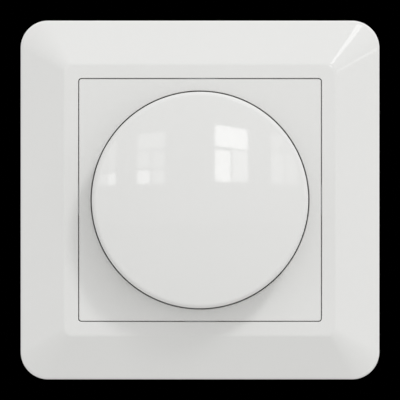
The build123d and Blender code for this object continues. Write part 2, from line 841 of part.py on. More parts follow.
def make_return_spring():
    """The coil spring between the switch's floor and the slider's pocket."""
    low = switch_pit + spring_wire_radius + standing_gap / 2
    high = slider_rear + spring_pocket_depth - spring_wire_radius - standing_gap / 2
    helix = Helix(pitch=(high - low) / spring_turns, height=high - low, radius=spring_radius)
    wire = Plane(origin=helix @ 0, z_dir=helix % 0) * Circle(spring_wire_radius)
    return Pos(0, spring_y(), low) * sweep(wire, path=helix)


def lead_places():
    """Where each part's leads pass the circuit board, in plan."""
    film_reach = film_length / 2 - film_lead_inset
    timing_reach = timing_length / 2 - timing_lead_inset
    fuse_reach = fuse_lead_pitch / 2
    diac_reach = diac_length / 2 + diac_lead_reach
    choke_reach = (choke_outer - choke_wire / 2) * sin(radians(choke_lead_angle))
    places = {
        "choke": [(choke_x - choke_reach, upper_zone_middle),
                  (choke_x + choke_reach, upper_zone_middle)],
        "film": [(film_x - film_reach, upper_zone_middle), (film_x + film_reach, upper_zone_middle)],
        "timing": [(side_column, timing_y - timing_reach), (side_column, timing_y + timing_reach)],
        "fuse": [(-side_column, fuse_y - fuse_reach), (-side_column, fuse_y + fuse_reach)],
        "diac": [(-side_column - diac_reach, diac_y), (-side_column + diac_reach, diac_y)],
        "triac": [(triac_end + triac_lead_width, upper_zone_middle + k * triac_lead_pitch)
                  for k in (-1, 0, 1)],
    }
    for k in (-0.5, 0.5):
        x = side_column + k * resistor_pitch
        reach = resistor_length / 2 + resistor_lead_reach
        places[f"resistor{k}"] = [(x, resistor_y - reach), (x, resistor_y + reach)]
    return places


def leads(place, top):
    """Round leads from a height down through the circuit board."""
    return [rod(lead_radius, board_rear - lead_below_board, top, x, y)
            for x, y in lead_places()[place]]


def make_circuit_board():
    """The circuit board: the housing's inside in plan, down to the terminals' pockets."""
    keep = Pos(0, board_edge + housing_half) * Rectangle(2 * housing_half, 2 * housing_half)
    board = slab(cavity_outline(board_fit) & keep, board_rear, board_front)
    for x, y in corner_signs:
        board -= rod(boss_radius + board_fit, board_rear - 1, board_front + 1,
                     x * boss_place, y * boss_place)
    for points in lead_places().values():
        for x, y in points:
            board -= rod(lead_radius + pin_hole_fit, board_rear - 1, board_front + 1, x, y)
    for x in contact_places():
        board -= rod(contact_pin_radius + pin_hole_fit, board_rear - 1, board_front + 1,
                     x, bridge_y())
    for x in terminal_places:
        board -= block(x - bar_pin_width / 2 - pin_hole_fit, x + bar_pin_width / 2 + pin_hole_fit,
                       pin_bottom - pin_hole_fit, pin_top + pin_hole_fit,
                       board_rear - 1, board_front + 1)
    return board


def across_y(piece, x, y, z):
    """Turns a piece made along z so that it lies along y, and puts it in place."""
    return Pos(x, y, z) * Rot(90, 0, 0) * piece


def make_choke_core():
    core = pipe(choke_radius, choke_bore, -choke_width / 2, choke_width / 2)
    return across_y(core, choke_x, upper_zone_middle, choke_z)


def make_choke_winding():
    """The choke's copper turns round its ring core, touching one another in the bore."""
    gap = running_fit
    half_width = choke_width / 2 + gap
    wire_half = choke_wire / 2
    inner, outer = choke_bore - gap, choke_radius + gap
    turn = block(inner - choke_wire, outer + choke_wire, -wire_half, wire_half,
                 -half_width - choke_wire, half_width + choke_wire)
    turn -= block(inner, outer, -1, 1, -half_width, half_width)
    turns = [Rot(0, 0, (number + 0.5) * 360 / choke_turns - 90) * turn
             for number in range(choke_turns)]
    winding = turns[0] + turns[1:]
    winding = across_y(winding, choke_x, upper_zone_middle, choke_z)
    top = choke_z - (outer + wire_half) * cos(radians(choke_lead_angle))
    for x, y in lead_places()["choke"]:
        winding += rod(lead_radius, board_rear - lead_below_board, top, x, y)
    return winding


def triac_lead(number):
    """One of the triac's leads, from inside its body down through the circuit board."""
    x, y = lead_places()["triac"][number]
    top = -pad_thickness - triac_body_height / 2
    wide, thin = triac_lead_width / 2, triac_lead_thickness / 2
    root = triac_end - triac_tab_inset - triac_lead_root
    lead = block(root, x + thin, y - wide, y + wide, top - 2 * thin, top)
    return lead + block(x - thin, x + thin, y - thin, y + thin,
                        board_rear - lead_below_board, top)


def make_triac_tab():
    """The triac's metal tab, joined to its middle lead inside the moulded body."""
    y = upper_zone_middle
    top = -pad_thickness
    tab_end = triac_end - triac_tab_inset
    tab = block(triac_start, tab_end, y - triac_width / 2, y + triac_width / 2,
                top - triac_tab_thickness, top)
    tab -= rod(rivet_radius + hole_fit, top - triac_tab_thickness - 1, 1, rivet_x, y)
    half = triac_lead_width / 2
    tab += block(tab_end - triac_lead_root, tab_end, y - half, y + half,
                 top - triac_body_height / 2, top)
    return tab + triac_lead(1)


def make_triac_leads():
    """The triac's two outer leads."""
    return Compound([triac_lead(0).solid(), triac_lead(2).solid()])


def make_triac_body():
    y = upper_zone_middle
    body = block(triac_start + triac_tab_length, triac_end, y - triac_width / 2,
                 y + triac_width / 2, -pad_thickness - triac_body_height, -pad_thickness)
    return body - make_triac_tab() - triac_lead(0) - triac_lead(2)


def make_insulating_pad():
    y = upper_zone_middle
    pad = block(triac_start, triac_end, y - triac_width / 2, y + triac_width / 2,
                -pad_thickness, 0)
    return pad - rod(rivet_radius + hole_fit, -1, 1, rivet_x, y)


def make_triac_rivet():
    """The rivet that clamps the triac's tab to the support plate."""
    rear = -pad_thickness - triac_tab_thickness
    y = upper_zone_middle
    rivet = rod(rivet_radius, rear - rivet_head_height, support_thickness + rivet_head_height,
                rivet_x, y)
    head = rod(rivet_head_radius, support_thickness, support_thickness + rivet_head_height,
               rivet_x, y)
    head = fillet(head.edges().group_by(Axis.Z)[-1], rivet_head_round)
    tail = rod(rivet_tail_radius, rear - rivet_head_height, rear, rivet_x, y)
    return rivet + head + tail


def make_film_capacitor():
    y = upper_zone_middle
    case = block(film_x - film_length / 2, film_x + film_length / 2, y - film_width / 2,
                 y + film_width / 2, board_front, board_front + film_height)
    case = fillet(case.edges().filter_by(Axis.Z), film_edge_radius)
    for lead in leads("film", board_front + lead_in_case):
        case += lead
    return case


def make_timing_capacitor():
    case = block(side_column - timing_width / 2, side_column + timing_width / 2,
                 timing_y - timing_length / 2, timing_y + timing_length / 2,
                 board_front, board_front + timing_height)
    case = fillet(case.edges().filter_by(Axis.Z), timing_edge_radius)
    for lead in leads("timing", board_front + lead_in_case):
        case += lead
    return case


def make_fuse():
    """A round plug-in fuse, standing on the circuit board."""
    case = rod(fuse_radius, board_front, board_front + fuse_height, -side_column, fuse_y)
    case = fillet(case.edges().group_by(Axis.Z)[-1], fuse_edge_radius)
    for lead in leads("fuse", board_front + lead_in_case):
        case += lead
    return case


def axial_part(radius, length, place, along_x):
    """A small body lying on the board, with leads bent down at both ends."""
    (x0, y0), (x1, y1) = lead_places()[place]
    z = board_front + radius + standing_gap
    turn = Rot(0, 90, 0) if along_x else Rot(90, 0, 0)
    middle = Pos((x0 + x1) / 2, (y0 + y1) / 2, z) * turn
    span = (x1 - x0) if along_x else (y1 - y0)
    part = middle * (Cylinder(radius, length) + Cylinder(lead_radius, span))
    for lead in leads(place, z):
        part += lead
    return part


def make_resistors():
    return Compound([
        axial_part(resistor_radius, resistor_length, f"resistor{k}", False).solid()
        for k in (-0.5, 0.5)
    ])


def make_diac():
    return axial_part(diac_radius, diac_length, "diac", True)


def make_housing_screws():
    """The four screws that hold the housing to the support plate."""
    screw = pan_screw(housing_screw_head_radius, housing_screw_head_height,
                      housing_screw_radius, housing_screw_length)
    return Compound([
        (Pos(x * boss_place, y * boss_place, support_thickness) * screw).solid()
        for x, y in corner_signs
    ])


def make_claw_screw(side):
    """The screw beside the housing that pulls a claw's foot forward."""
    seat = support_thickness + seat_gap
    screw = pan_screw(claw_screw_head_radius, claw_screw_head_height, claw_screw_radius,
                      seat - claw_screw_end)
    return Pos(side * claw_screw_x, 0, seat) * screw


def make_claw(side):
    """A spreading claw: a foot with a slot for its screw, a leg, and a toothed end."""
    half_width = claw_width / 2
    half = claw_thickness / 2
    foot_end = channel_floor + knob_gap
    leg_top = claw_pivot_z + claw_leg_length
    claw = block(foot_end, claw_pivot_x + half, -half_width, half_width,
                 claw_pivot_z - half, claw_pivot_z + half)
    claw += block(claw_pivot_x - half, claw_pivot_x + half, -half_width, half_width,
                  claw_pivot_z, leg_top)
    claw += block(claw_pivot_x - half, claw_pivot_x + claw_tooth_reach, -half_width, half_width,
                  leg_top - claw_thickness, leg_top)
    claw += Pos(claw_pivot_x, 0, claw_pivot_z) * Rot(90, 0, 0) * Cylinder(
        claw_knuckle_radius, claw_width)
    slot = SlotOverall(claw_slot_length, claw_slot_width)
    claw -= slab(Pos(claw_screw_x, 0) * slot, claw_pivot_z - 1, claw_pivot_z + 1)
    tooth_pitch = claw_width / claw_tooth_count
    tip = claw_pivot_x + claw_tooth_reach
    for number in range(claw_tooth_count + 1):
        y = (number - claw_tooth_count / 2) * tooth_pitch
        notch = Polygon((tip - claw_tooth_depth, y), (tip + weld, y - tooth_pitch / 2),
                        (tip + weld, y + tooth_pitch / 2), align=None)
        claw -= slab(notch, leg_top - claw_thickness - 1, leg_top + 1)
    return claw if side > 0 else mirror(claw, Plane.YZ)


def make_terminal_cage(x):
    """A brass cage that slides down to clamp the wire against the terminal's bar."""
    half = cage_width / 2
    cage = block(x - half, x + half, cage_bottom, cage_top, cage_rear, cage_front)
    cage -= block(x - half + cage_side_wall, x + half - cage_side_wall,
                  thread_wall_top, wire_top, cage_rear - 1, cage_front + 1)
    return cage - Pos(x, 0, cage_middle) * Rot(90, 0, 0) * rod(
        terminal_screw_radius + thread_fit, -thread_wall_top - 1, -cage_bottom + 1)


def make_terminal_screw(x):
    """A terminal's screw, its head in the housing's lower side."""
    screw = pan_screw(terminal_head_radius, terminal_head_height, terminal_screw_radius,
                      thread_wall_top - shelf_bottom - seat_gap)
    return Pos(x, shelf_bottom - seat_gap, cage_middle) * Rot(90, 0, 0) * screw


def make_terminal_bars():
    """The fixed bars that the wires are clamped against, bent over to the circuit board."""
    bars = []
    for x in terminal_places:
        half = bar_width / 2 - pocket_fit
        bar = block(x - half, x + half, bar_bottom, bar_top, cage_rear, bar_front)
        bar += block(x - half, x + half, bar_bottom, pin_top, bar_front - bar_thickness, bar_front)
        bar += block(x - bar_pin_width / 2, x + bar_pin_width / 2, pin_bottom, pin_top,
                     board_rear - lead_below_board, bar_front)
        bars.append(bar.solid())
    return Compound(bars)


def stand_up(piece):
    """Turns a piece from lying on its back to standing against the wall."""
    return Rot(90, 0, 0) * piece


def all_parts():
    """Every piece by its name."""
    parts = {
        "cover_frame": make_cover_frame(),
        "centre_plate": make_centre_plate(),
        "knob": make_knob(),
        "knob_hub_ring": make_hub_ring(),
        "plate_nut": make_nut(plate_washer_top),
        "plate_washer": make_plate_washer(),
        "control_nut": make_nut(lock_washer_top),
        "control_lock_washer": make_lock_washer(),
        "support_plate": make_support_plate(),
        "housing_shell": make_housing_shell(),
        "housing_screws": make_housing_screws(),
        "insulating_lid": make_insulating_lid(),
        "control_bushing": make_control_bushing(),
        "control_can": make_control_can(),
        "control_track": make_track(),
        "control_rotor": make_rotor(),
        "control_wiper": make_wiper(),
        "shaft": make_shaft(),
        "shaft_clip": make_shaft_clip(),
        "switch_body": make_switch_body(),
        "switch_slider": make_switch_slider(),
        "switch_bridge": make_switch_bridge(),
        "switch_contacts": make_switch_contacts(),
        "return_spring": make_return_spring(),
        "circuit_board": make_circuit_board(),
        "choke_core": make_choke_core(),
        "choke_winding": make_choke_winding(),
        "triac_tab": make_triac_tab(),
        "triac_leads": make_triac_leads(),
        "triac_body": make_triac_body(),
        "insulating_pad": make_insulating_pad(),
        "triac_rivet": make_triac_rivet(),
        "film_capacitor": make_film_capacitor(),
        "timing_capacitor": make_timing_capacitor(),
        "fuse": make_fuse(),
        "resistors": make_resistors(),
        "diac": make_diac(),
        "claw_right": make_claw(1),
        "claw_left": make_claw(-1),
        "claw_screw_right": make_claw_screw(1),
        "claw_screw_left": make_claw_screw(-1),
        "terminal_bars": make_terminal_bars(),
    }
    for number, x in enumerate(terminal_places, start=1):
        parts[f"terminal_cage_{number}"] = make_terminal_cage(x)
        parts[f"terminal_screw_{number}"] = make_terminal_screw(x)
    return parts


os.makedirs("parts", exist_ok=True)
for name, piece in all_parts().items():
    export_step(stand_up(piece), f"parts/{name}.step")
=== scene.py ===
"""Looks of a white rotary dimmer: mouldings, finishes and studio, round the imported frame.

Sizes are in millimetres and in the bench's axes, where x is right, y is up and z comes out of the
wall. The last step of each piece turns it into the frame's axes and metres.
"""

import logging
import math
from dataclasses import dataclass, field
from enum import Enum
from typing import Any, Mapping, Sequence

import bmesh
import bpy
import numpy as np
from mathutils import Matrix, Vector


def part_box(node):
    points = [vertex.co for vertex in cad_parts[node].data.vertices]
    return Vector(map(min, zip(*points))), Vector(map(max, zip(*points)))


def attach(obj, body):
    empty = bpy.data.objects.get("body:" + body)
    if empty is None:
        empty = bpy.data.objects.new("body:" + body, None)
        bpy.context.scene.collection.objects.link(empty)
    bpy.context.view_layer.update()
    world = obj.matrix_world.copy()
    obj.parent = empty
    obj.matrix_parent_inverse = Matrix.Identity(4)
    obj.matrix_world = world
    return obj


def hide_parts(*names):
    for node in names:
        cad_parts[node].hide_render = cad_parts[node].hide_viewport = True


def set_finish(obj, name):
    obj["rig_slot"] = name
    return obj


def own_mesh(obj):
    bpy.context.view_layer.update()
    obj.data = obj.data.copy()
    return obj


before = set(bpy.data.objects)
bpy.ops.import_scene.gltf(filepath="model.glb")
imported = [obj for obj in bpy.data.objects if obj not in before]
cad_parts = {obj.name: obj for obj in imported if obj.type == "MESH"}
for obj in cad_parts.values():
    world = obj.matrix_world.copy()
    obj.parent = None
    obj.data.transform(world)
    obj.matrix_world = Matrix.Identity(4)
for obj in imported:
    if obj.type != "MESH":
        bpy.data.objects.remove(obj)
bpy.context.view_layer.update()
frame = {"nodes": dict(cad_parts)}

LOG = logging.getLogger("dimmer")
MILLIMETRE = 0.001
MERGE_DISTANCE = 1e-5
SHARP_ANGLE = math.radians(34)
QUARTER = math.pi / 2
PLATE_GAP = 0.15  # all round, between the centre plate and the cover frame
KNOB_GAP = 0.3  # all round, between the knob and its well
PEG_REACH = 2.9  # from the plate's rear edge to the ends of its pegs
HUB_REACH = 0.6  # from the hub's spring ring to the hub's end
SUNK = 0.5  # how far an added piece reaches into what it joins
PAST = 1.0  # how far a tool reaches past what it cuts

Triple = tuple[float, float, float]


def bench_box(node: str) -> tuple[Vector, Vector]:
    """Finds a CAD node's box in the bench's axes.

    Args:
        node: the node's name.

    Returns:
        Its lowest and highest corners in millimetres, x right, y up and z out of the wall.
    """
    low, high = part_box(node)
    return (Vector((low.x, low.z, -high.y)) / MILLIMETRE,
            Vector((high.x, high.z, -low.y)) / MILLIMETRE)


class Join(Enum):
    """What a tool does to the body that it meets."""

    CUT = "DIFFERENCE"
    ADD = "UNION"


@dataclass(frozen=True)
class Turn:
    """One corner of a moulding's section, at a distance from the axis and a height.

    Attributes:
        reach: distance from the axis to the outline's side, or the circle's radius.
        height: distance from the wall.
        round: radius that softens this corner of the section.
        corner: radius of the outline's own corners; equal to reach, the outline is a circle.
        spread: how fast that corner radius grows with the reach, 1 where corners share a centre.
        flat: distance from the axis to a flat on the right side, where there is one.
    """

    reach: float
    height: float
    round: float = 0.0
    corner: float = 0.0
    spread: float = 1.0
    flat: float = math.inf


@dataclass(frozen=True)
class Section:
    """A moulding's section: turns in order, with their corners softened by arcs.

    Attributes:
        turns: the section's corners.
        closed: whether the last turn joins the first.
        arc_step: the largest angle between two places of an arc.
        hold: distance from an arc's end to the place that keeps the flat beside it flat.
    """

    turns: Sequence[Turn]
    closed: bool = True
    arc_step: float = math.radians(8)
    hold: float = 0.08

    def points(self) -> np.ndarray:
        """Softens the section.

        Each turn becomes an arc that touches its two neighbours' lines, with a point just outside
        either end, so that the flats beside it stay flat when the surface is shaded smooth.

        Returns:
            Rows of reach, height, corner radius and flat.
        """
        rows = []
        count = len(self.turns)
        for number, turn in enumerate(self.turns):
            here = np.array((turn.reach, turn.height))
            ends = not self.closed and number in (0, count - 1)
            if turn.round <= 0 or ends:
                rows.append(self.row(turn, here))
                continue
            before = self.turns[number - 1]
            after = self.turns[(number + 1) % count]
            back = np.array((before.reach, before.height)) - here
            ahead = np.array((after.reach, after.height)) - here
            back /= np.linalg.norm(back)
            ahead /= np.linalg.norm(ahead)
            half_angle = math.acos(float(np.clip(back @ ahead, -1, 1))) / 2
            setback = turn.round / math.tan(half_angle)
            middle = back + ahead
            middle *= turn.round / math.sin(half_angle) / np.linalg.norm(middle)
            first = back * setback - middle
            last = ahead * setback - middle
            start = math.atan2(first[1], first[0])
            sweep = (math.atan2(last[1], last[0]) - start + math.pi) % math.tau - math.pi
            steps = max(3, math.ceil(abs(sweep) / self.arc_step))
            angles = start + sweep * np.linspace(0, 1, steps + 1)
            arc = here + middle + turn.round * np.stack((np.cos(angles), np.sin(angles)), axis=1)
            rows.append(self.row(turn, here + back * (setback + self.hold)))
            rows.append(self.row(turn, arc))
            rows.append(self.row(turn, here + ahead * (setback + self.hold)))
        return np.concatenate(rows)

    def row(self, turn: Turn, places: np.ndarray) -> np.ndarray:
        """Gives section places the corner radius and flat that belong to their turn.

        Args:
            turn: the turn that the places belong to.
            places: one place or several, as reach and height.

        Returns:
            Rows of reach, height, corner radius and flat.
        """
        places = np.atleast_2d(places)
        corner = turn.corner + turn.spread * (places[:, 0] - turn.reach)
        flat = np.full(len(places), turn.flat)
        return np.column_stack((places, np.maximum(corner, 0.0), flat))


@dataclass(frozen=True)
class SquareRings:
    """Outlines of rounded squares, cut where the edge has the same direction on every ring."""

    corner_steps: int = 22
    side_places: tuple[float, ...] = (0.01, 0.1, 0.25, 0.5, 0.75, 0.9, 0.99)

    def carry(self, section: np.ndarray) -> np.ndarray:
        """Carries a section round the square.

        A place is (reach - corner) times its share of the square, plus the corner radius times
        the edge's outward direction, so a bevel between two rings is straight in every section.

        Args:
            section: rows of reach, height and corner radius.

        Returns:
            A grid of places, one row for each section place and one column for each cut.
        """
        turn = np.linspace(0, QUARTER, self.corner_steps + 1)
        places = np.array(self.side_places)
        share, edge = [], []
        for side in range(4):
            angle = turn + side * QUARTER
            middle = side * QUARTER + QUARTER / 2
            signs = np.array((math.cos(middle), math.sin(middle))) * math.sqrt(2)
            following = np.array((-signs[1], signs[0]))
            share.append(np.tile(signs, (len(turn), 1)))
            edge.append(np.stack((np.cos(angle), np.sin(angle)), axis=1))
            share.append(signs + places[:, None] * (following - signs))
            direction = (side + 1) * QUARTER
            edge.append(np.tile((math.cos(direction), math.sin(direction)), (len(places), 1)))
        shares, edges = np.concatenate(share), np.concatenate(edge)
        reach, height, corner = section[:, 0], section[:, 1], section[:, 2]
        flat = (reach - corner)[:, None, None] * shares + corner[:, None, None] * edges
        heights = np.broadcast_to(height[:, None, None], flat.shape[:2] + (1,))
        return np.concatenate((flat, heights), axis=2)


@dataclass(frozen=True)
class PolarRings:
    """Outlines cut by rays from the axis, so that square and round rings fit one surface."""

    rays: int = 288
    corner_rays: int = 0
    corner_spread: float = math.radians(1.6)
    corner_clear: float = 1.2

    def angles(self) -> np.ndarray:
        """Spaces the rays evenly, with more of them close to the square's four corners.

        Returns:
            The rays' angles, from the smallest up.
        """
        even = np.linspace(0, math.tau, self.rays, endpoint=False)
        if not self.corner_rays:
            return even
        fan = np.linspace(-self.corner_spread, self.corner_spread, self.corner_rays)
        corners = QUARTER / 2 + np.arange(4) * QUARTER
        close = np.abs((even[:, None] - corners) % math.tau)
        gap = np.minimum(close, math.tau - close).min(axis=1)
        keep = gap > self.corner_spread * self.corner_clear
        return np.sort(np.concatenate((even[keep], (corners[:, None] + fan).ravel())))

    def carry(self, section: np.ndarray) -> np.ndarray:
        """Carries a section round the axis.

        A ray leaves a square through its side, at reach over the larger of cosine and sine, or
        through a corner's arc, and a flat cuts the ring at its distance over the cosine.

        Args:
            section: rows of reach, height, corner radius and flat.

        Returns:
            A grid of places, one row for each section place and one column for each ray.
        """
        angle = self.angles()
        cosine, sine = np.cos(angle), np.sin(angle)
        reach, height, corner, flat = (column[:, None] for column in section.T)
        inset = reach - corner
        larger = np.maximum(abs(cosine), abs(sine))
        smaller = np.minimum(abs(cosine), abs(sine))
        side = reach / larger
        along = inset * (larger + smaller)
        arc = along + np.sqrt(np.maximum(along**2 - 2 * inset**2 + corner**2, 0))
        distance = np.where(side * smaller > inset, arc, side)
        with np.errstate(divide="ignore"):
            distance = np.where(cosine > 0, np.minimum(distance, flat / cosine), distance)
        heights = np.broadcast_to(height, distance.shape)
        return np.stack((distance * cosine, distance * sine, heights), axis=2)


def add_object(name: str, data: bpy.types.ID) -> bpy.types.Object:
    """Makes an object and links it to the scene.

    Args:
        name: the object's name.
        data: its mesh, camera or light.

    Returns:
        The object.
    """
    made = bpy.data.objects.new(name, data)
    bpy.context.scene.collection.objects.link(made)
    return made


def mesh_object(name: str, places: np.ndarray, faces: Sequence[Sequence[int]]) -> bpy.types.Object:
    """Makes an object of points and faces, with doubles merged and its faces turned outwards.

    Args:
        name: the object's name.
        places: rows of x, y and z.
        faces: rows of point numbers.

    Returns:
        The object, in the scene.
    """
    mesh = bpy.data.meshes.new(name)
    mesh.from_pydata(places.tolist(), [], faces)
    work = bmesh.new()
    work.from_mesh(mesh)
    bmesh.ops.remove_doubles(work, verts=work.verts, dist=MERGE_DISTANCE)
    bmesh.ops.recalc_face_normals(work, faces=work.faces)
    if work.calc_volume(signed=True) < 0:
        bmesh.ops.reverse_faces(work, faces=work.faces)
    work.to_mesh(mesh)
    work.free()
    return add_object(name, mesh)


def skin(name: str, grid: np.ndarray, closed: bool = True) -> bpy.types.Object:
    """Covers a grid of places with faces, closed round its columns.

    Args:
        name: the object's name.
        grid: places, as rows, columns and three coordinates.
        closed: whether the last row joins the first; if not, both end rows are single points.

    Returns:
        The object, in the scene.
    """
    rows, columns = grid.shape[:2]
    number = np.arange(rows * columns).reshape(rows, columns)
    upper = number if closed else number[:-1]
    lower = np.roll(number, -1, axis=0) if closed else number[1:]
    faces = np.stack((upper, np.roll(upper, -1, axis=1), np.roll(lower, -1, axis=1), lower), axis=2)
    return mesh_object(name, grid.reshape(-1, 3), faces.reshape(-1, 4).tolist())


def prism(name: str, outline: np.ndarray, low: float, high: float) -> bpy.types.Object:
    """Raises a closed outline into a solid.

    Args:
        name: the object's name.
        outline: rows of x and y, in order round the outline.
        low: height of its first end.
        high: height of its second end.

    Returns:
        The object, in the scene.
    """
    count = len(outline)
    bottom = np.column_stack((outline, np.full(count, low)))
    top = np.column_stack((outline, np.full(count, high)))
    near = np.arange(count)
    sides = np.stack((near, np.roll(near, -1), np.roll(near, -1) + count, near + count), axis=1)
    faces = sides.tolist() + [near[::-1].tolist(), (near + count).tolist()]
    return mesh_object(name, np.concatenate((bottom, top)), faces)


def circle(radius: float, x: float = 0.0, y: float = 0.0, places: int = 48) -> np.ndarray:
    """Rows of x and y round a circle."""
    angle = np.linspace(0, math.tau, places, endpoint=False)
    return np.stack((x + radius * np.cos(angle), y + radius * np.sin(angle)), axis=1)


def blade(name: str, section: np.ndarray, thickness: float, offset: float,
          turn: float) -> bpy.types.Object:
    """Makes an upright rib from its side view.

    Args:
        name: the object's name.
        section: rows of distance from the axis and height.
        thickness: the rib's thickness.
        offset: how far the rib stands to the side of its own radius.
        turn: angle of that radius about the axis.

    Returns:
        The object, in the scene.
    """
    rib = prism(name, section, offset - thickness / 2, offset + thickness / 2)
    places = read_places(rib.data)
    across, height, aside = places.T
    cosine, sine = math.cos(turn), math.sin(turn)
    turned = np.stack((across * cosine - aside * sine, across * sine + aside * cosine, height),
                      axis=1)
    rib.data.vertices.foreach_set("co", turned.astype(np.float32).ravel())
    return rib


def read_places(mesh: bpy.types.Mesh) -> np.ndarray:
    """Reads a mesh's vertices.

    Args:
        mesh: the mesh.

    Returns:
        Rows of x, y and z.
    """
    places = np.empty(len(mesh.vertices) * 3, np.float32)
    mesh.vertices.foreach_get("co", places)
    return places.reshape(-1, 3).astype(float)


def combine(body: bpy.types.Object, join: Join, tools: Sequence[bpy.types.Object]) -> None:
    """Cuts tools out of a body, or adds them to it, and keeps the result as its mesh.

    Args:
        body: the object that is changed.
        join: whether the tools cut or add.
        tools: closed pieces that don't touch each other; they are used up.
    """
    work = bmesh.new()
    for tool in tools:
        work.from_mesh(tool.data)
    bmesh.ops.recalc_face_normals(work, faces=work.faces)
    work.to_mesh(tools[0].data)
    work.free()
    modifier = body.modifiers.new("join", "BOOLEAN")
    modifier.operation = join.value
    modifier.solver = "EXACT"
    modifier.object = tools[0]
    graph = bpy.context.evaluated_depsgraph_get()
    result = bpy.data.meshes.new_from_object(body.evaluated_get(graph))
    body.modifiers.remove(modifier)
    body.data = result
    for tool in tools:
        bpy.data.objects.remove(tool)


def settle(piece: bpy.types.Object, body: str, slot: str, *nodes: str) -> bpy.types.Object:
    """Turns a finished piece from the bench's axes to the frame's, and gives it its place there.

    Args:
        piece: a mesh in millimetres and bench axes.
        body: the CAD body that it moves with.
        slot: the record's material slot that it takes its finish from.
        nodes: the CAD nodes that it stands for.

    Returns:
        The same object.
    """
    x, y, z = read_places(piece.data).T * MILLIMETRE
    piece.data.vertices.foreach_set("co", np.stack((x, -z, y), axis=1).astype(np.float32).ravel())
    piece.data.shade_smooth()
    piece.data.set_sharp_from_angle(angle=SHARP_ANGLE)
    piece.data.update()
    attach(piece, body)
    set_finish(piece, slot)
    if nodes:
        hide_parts(*nodes)
    LOG.info("%s: %d faces", piece.name, len(piece.data.polygons))
    return piece


@dataclass
class CoverFrame:
    """The outer moulding: rolled rim, sloped face, flat border, and the ledge that is clamped."""

    half: float = field(default_factory=lambda: bench_box("cover_frame")[1].x)
    face: float = field(default_factory=lambda: bench_box("cover_frame")[1].z)
    aperture: float = field(default_factory=lambda: bench_box("centre_plate")[1].x + PLATE_GAP)
    ledge_top: float = field(default_factory=lambda: bench_box("centre_plate")[0].z + PEG_REACH)
    rim_height: float = 5.0
    rim_round: float = 0.8
    rim_corner: float = 6.2
    border_width: float = 3.175
    border_corner: float = 1.8
    hollow_corner: float = 2.8
    border_round: float = 1.5
    aperture_corner: float = 0.75
    aperture_round: float = 0.2
    wall: float = 1.8
    collar: float = 1.6
    ledge_width: float = 1.6
    ledge_thickness: float = 1.5
    rib_thickness: float = 1.2
    rib_offset: float = 15.0
    rib_clear: float = 0.1
    screw_spacing: float = 60.0
    screw_room: float = 4.2
    small_round: float = 0.2

    def section(self) -> Section:
        """Lays out the frame's section: outside, aperture, ledge, collar and the hollow behind.

        Returns:
            The section, closed round the moulding's wall.
        """
        border = self.aperture + self.border_width
        run = self.half - border
        slope = (self.face - self.rim_height) / run
        drop = self.wall * math.hypot(1, slope)
        under = self.face - self.wall
        inside = self.half - self.wall
        foot = self.rim_height + slope * self.wall - drop
        head = self.half - (under - self.rim_height + drop) / slope
        ledge_bottom = self.ledge_top - self.ledge_thickness
        ledge = self.aperture - self.ledge_width
        collar = self.aperture + self.collar
        collar_corner = self.aperture_corner + self.collar
        bevel = (self.rim_corner - self.border_corner) / run
        inner_corner = self.rim_corner - self.wall
        hollow = (inner_corner - self.border_corner) / (inside - head)
        small = self.small_round
        return Section((
            Turn(self.half, 0.0, small, self.rim_corner),
            Turn(self.half, self.rim_height, self.rim_round, self.rim_corner, bevel),
            Turn(border, self.face, self.border_round, self.border_corner, bevel),
            Turn(self.aperture, self.face, self.aperture_round, self.aperture_corner),
            Turn(self.aperture, self.ledge_top, small, self.aperture_corner),
            Turn(ledge, self.ledge_top, small, self.aperture_corner),
            Turn(ledge, ledge_bottom, small, self.aperture_corner),
            Turn(collar, ledge_bottom, small, collar_corner),
            Turn(collar, under, 2 * small, collar_corner),
            Turn(head, under, 2 * small, self.hollow_corner, hollow),
            Turn(inside, foot, 2 * small, inner_corner, hollow),
            Turn(inside, 0.0, small, inner_corner),
        ))

    def ribs(self) -> list[bpy.types.Object]:
        """Makes the eight gussets between the collar and the rim, under the sloped face.

        Returns:
            Pieces whose edges are sunk in the collar, the rim and the face.
        """
        root = self.aperture + self.collar - SUNK
        inside = self.half - self.wall
        slope = (self.face - self.rim_height) / (self.half - self.aperture - self.border_width)
        foot = self.rim_height - self.wall / 2
        low = self.ledge_top - self.ledge_thickness + self.rib_clear
        under = self.face - self.wall / 2
        end = inside + SUNK
        section = np.array(((root, low), (end, low), (end, foot - SUNK * slope),
                            (inside - (under - foot) / slope, under), (root, under)))
        return [blade("rib", section, self.rib_thickness, offset, side * QUARTER)
                for side in range(4) for offset in (-self.rib_offset, self.rib_offset)]

    def build(self) -> bpy.types.Object:
        """Builds the frame with its gussets, and with room for the heads of the wall screws.

        Returns:
            The finished piece, standing for the CAD's frame.
        """
        grid = SquareRings().carry(self.section().points())
        moulding = skin("frame_moulding", grid)
        combine(moulding, Join.ADD, self.ribs())
        top = self.ledge_top - self.ledge_thickness + self.screw_room
        reach = self.screw_spacing / 2
        places = ((reach, 0), (0, reach), (-reach, 0), (0, -reach))
        rooms = [prism("room", circle(self.screw_room, x, y), -PAST, top) for x, y in places]
        combine(moulding, Join.CUT, rooms)
        return settle(moulding, "insert", "face_plastic", "cover_frame")


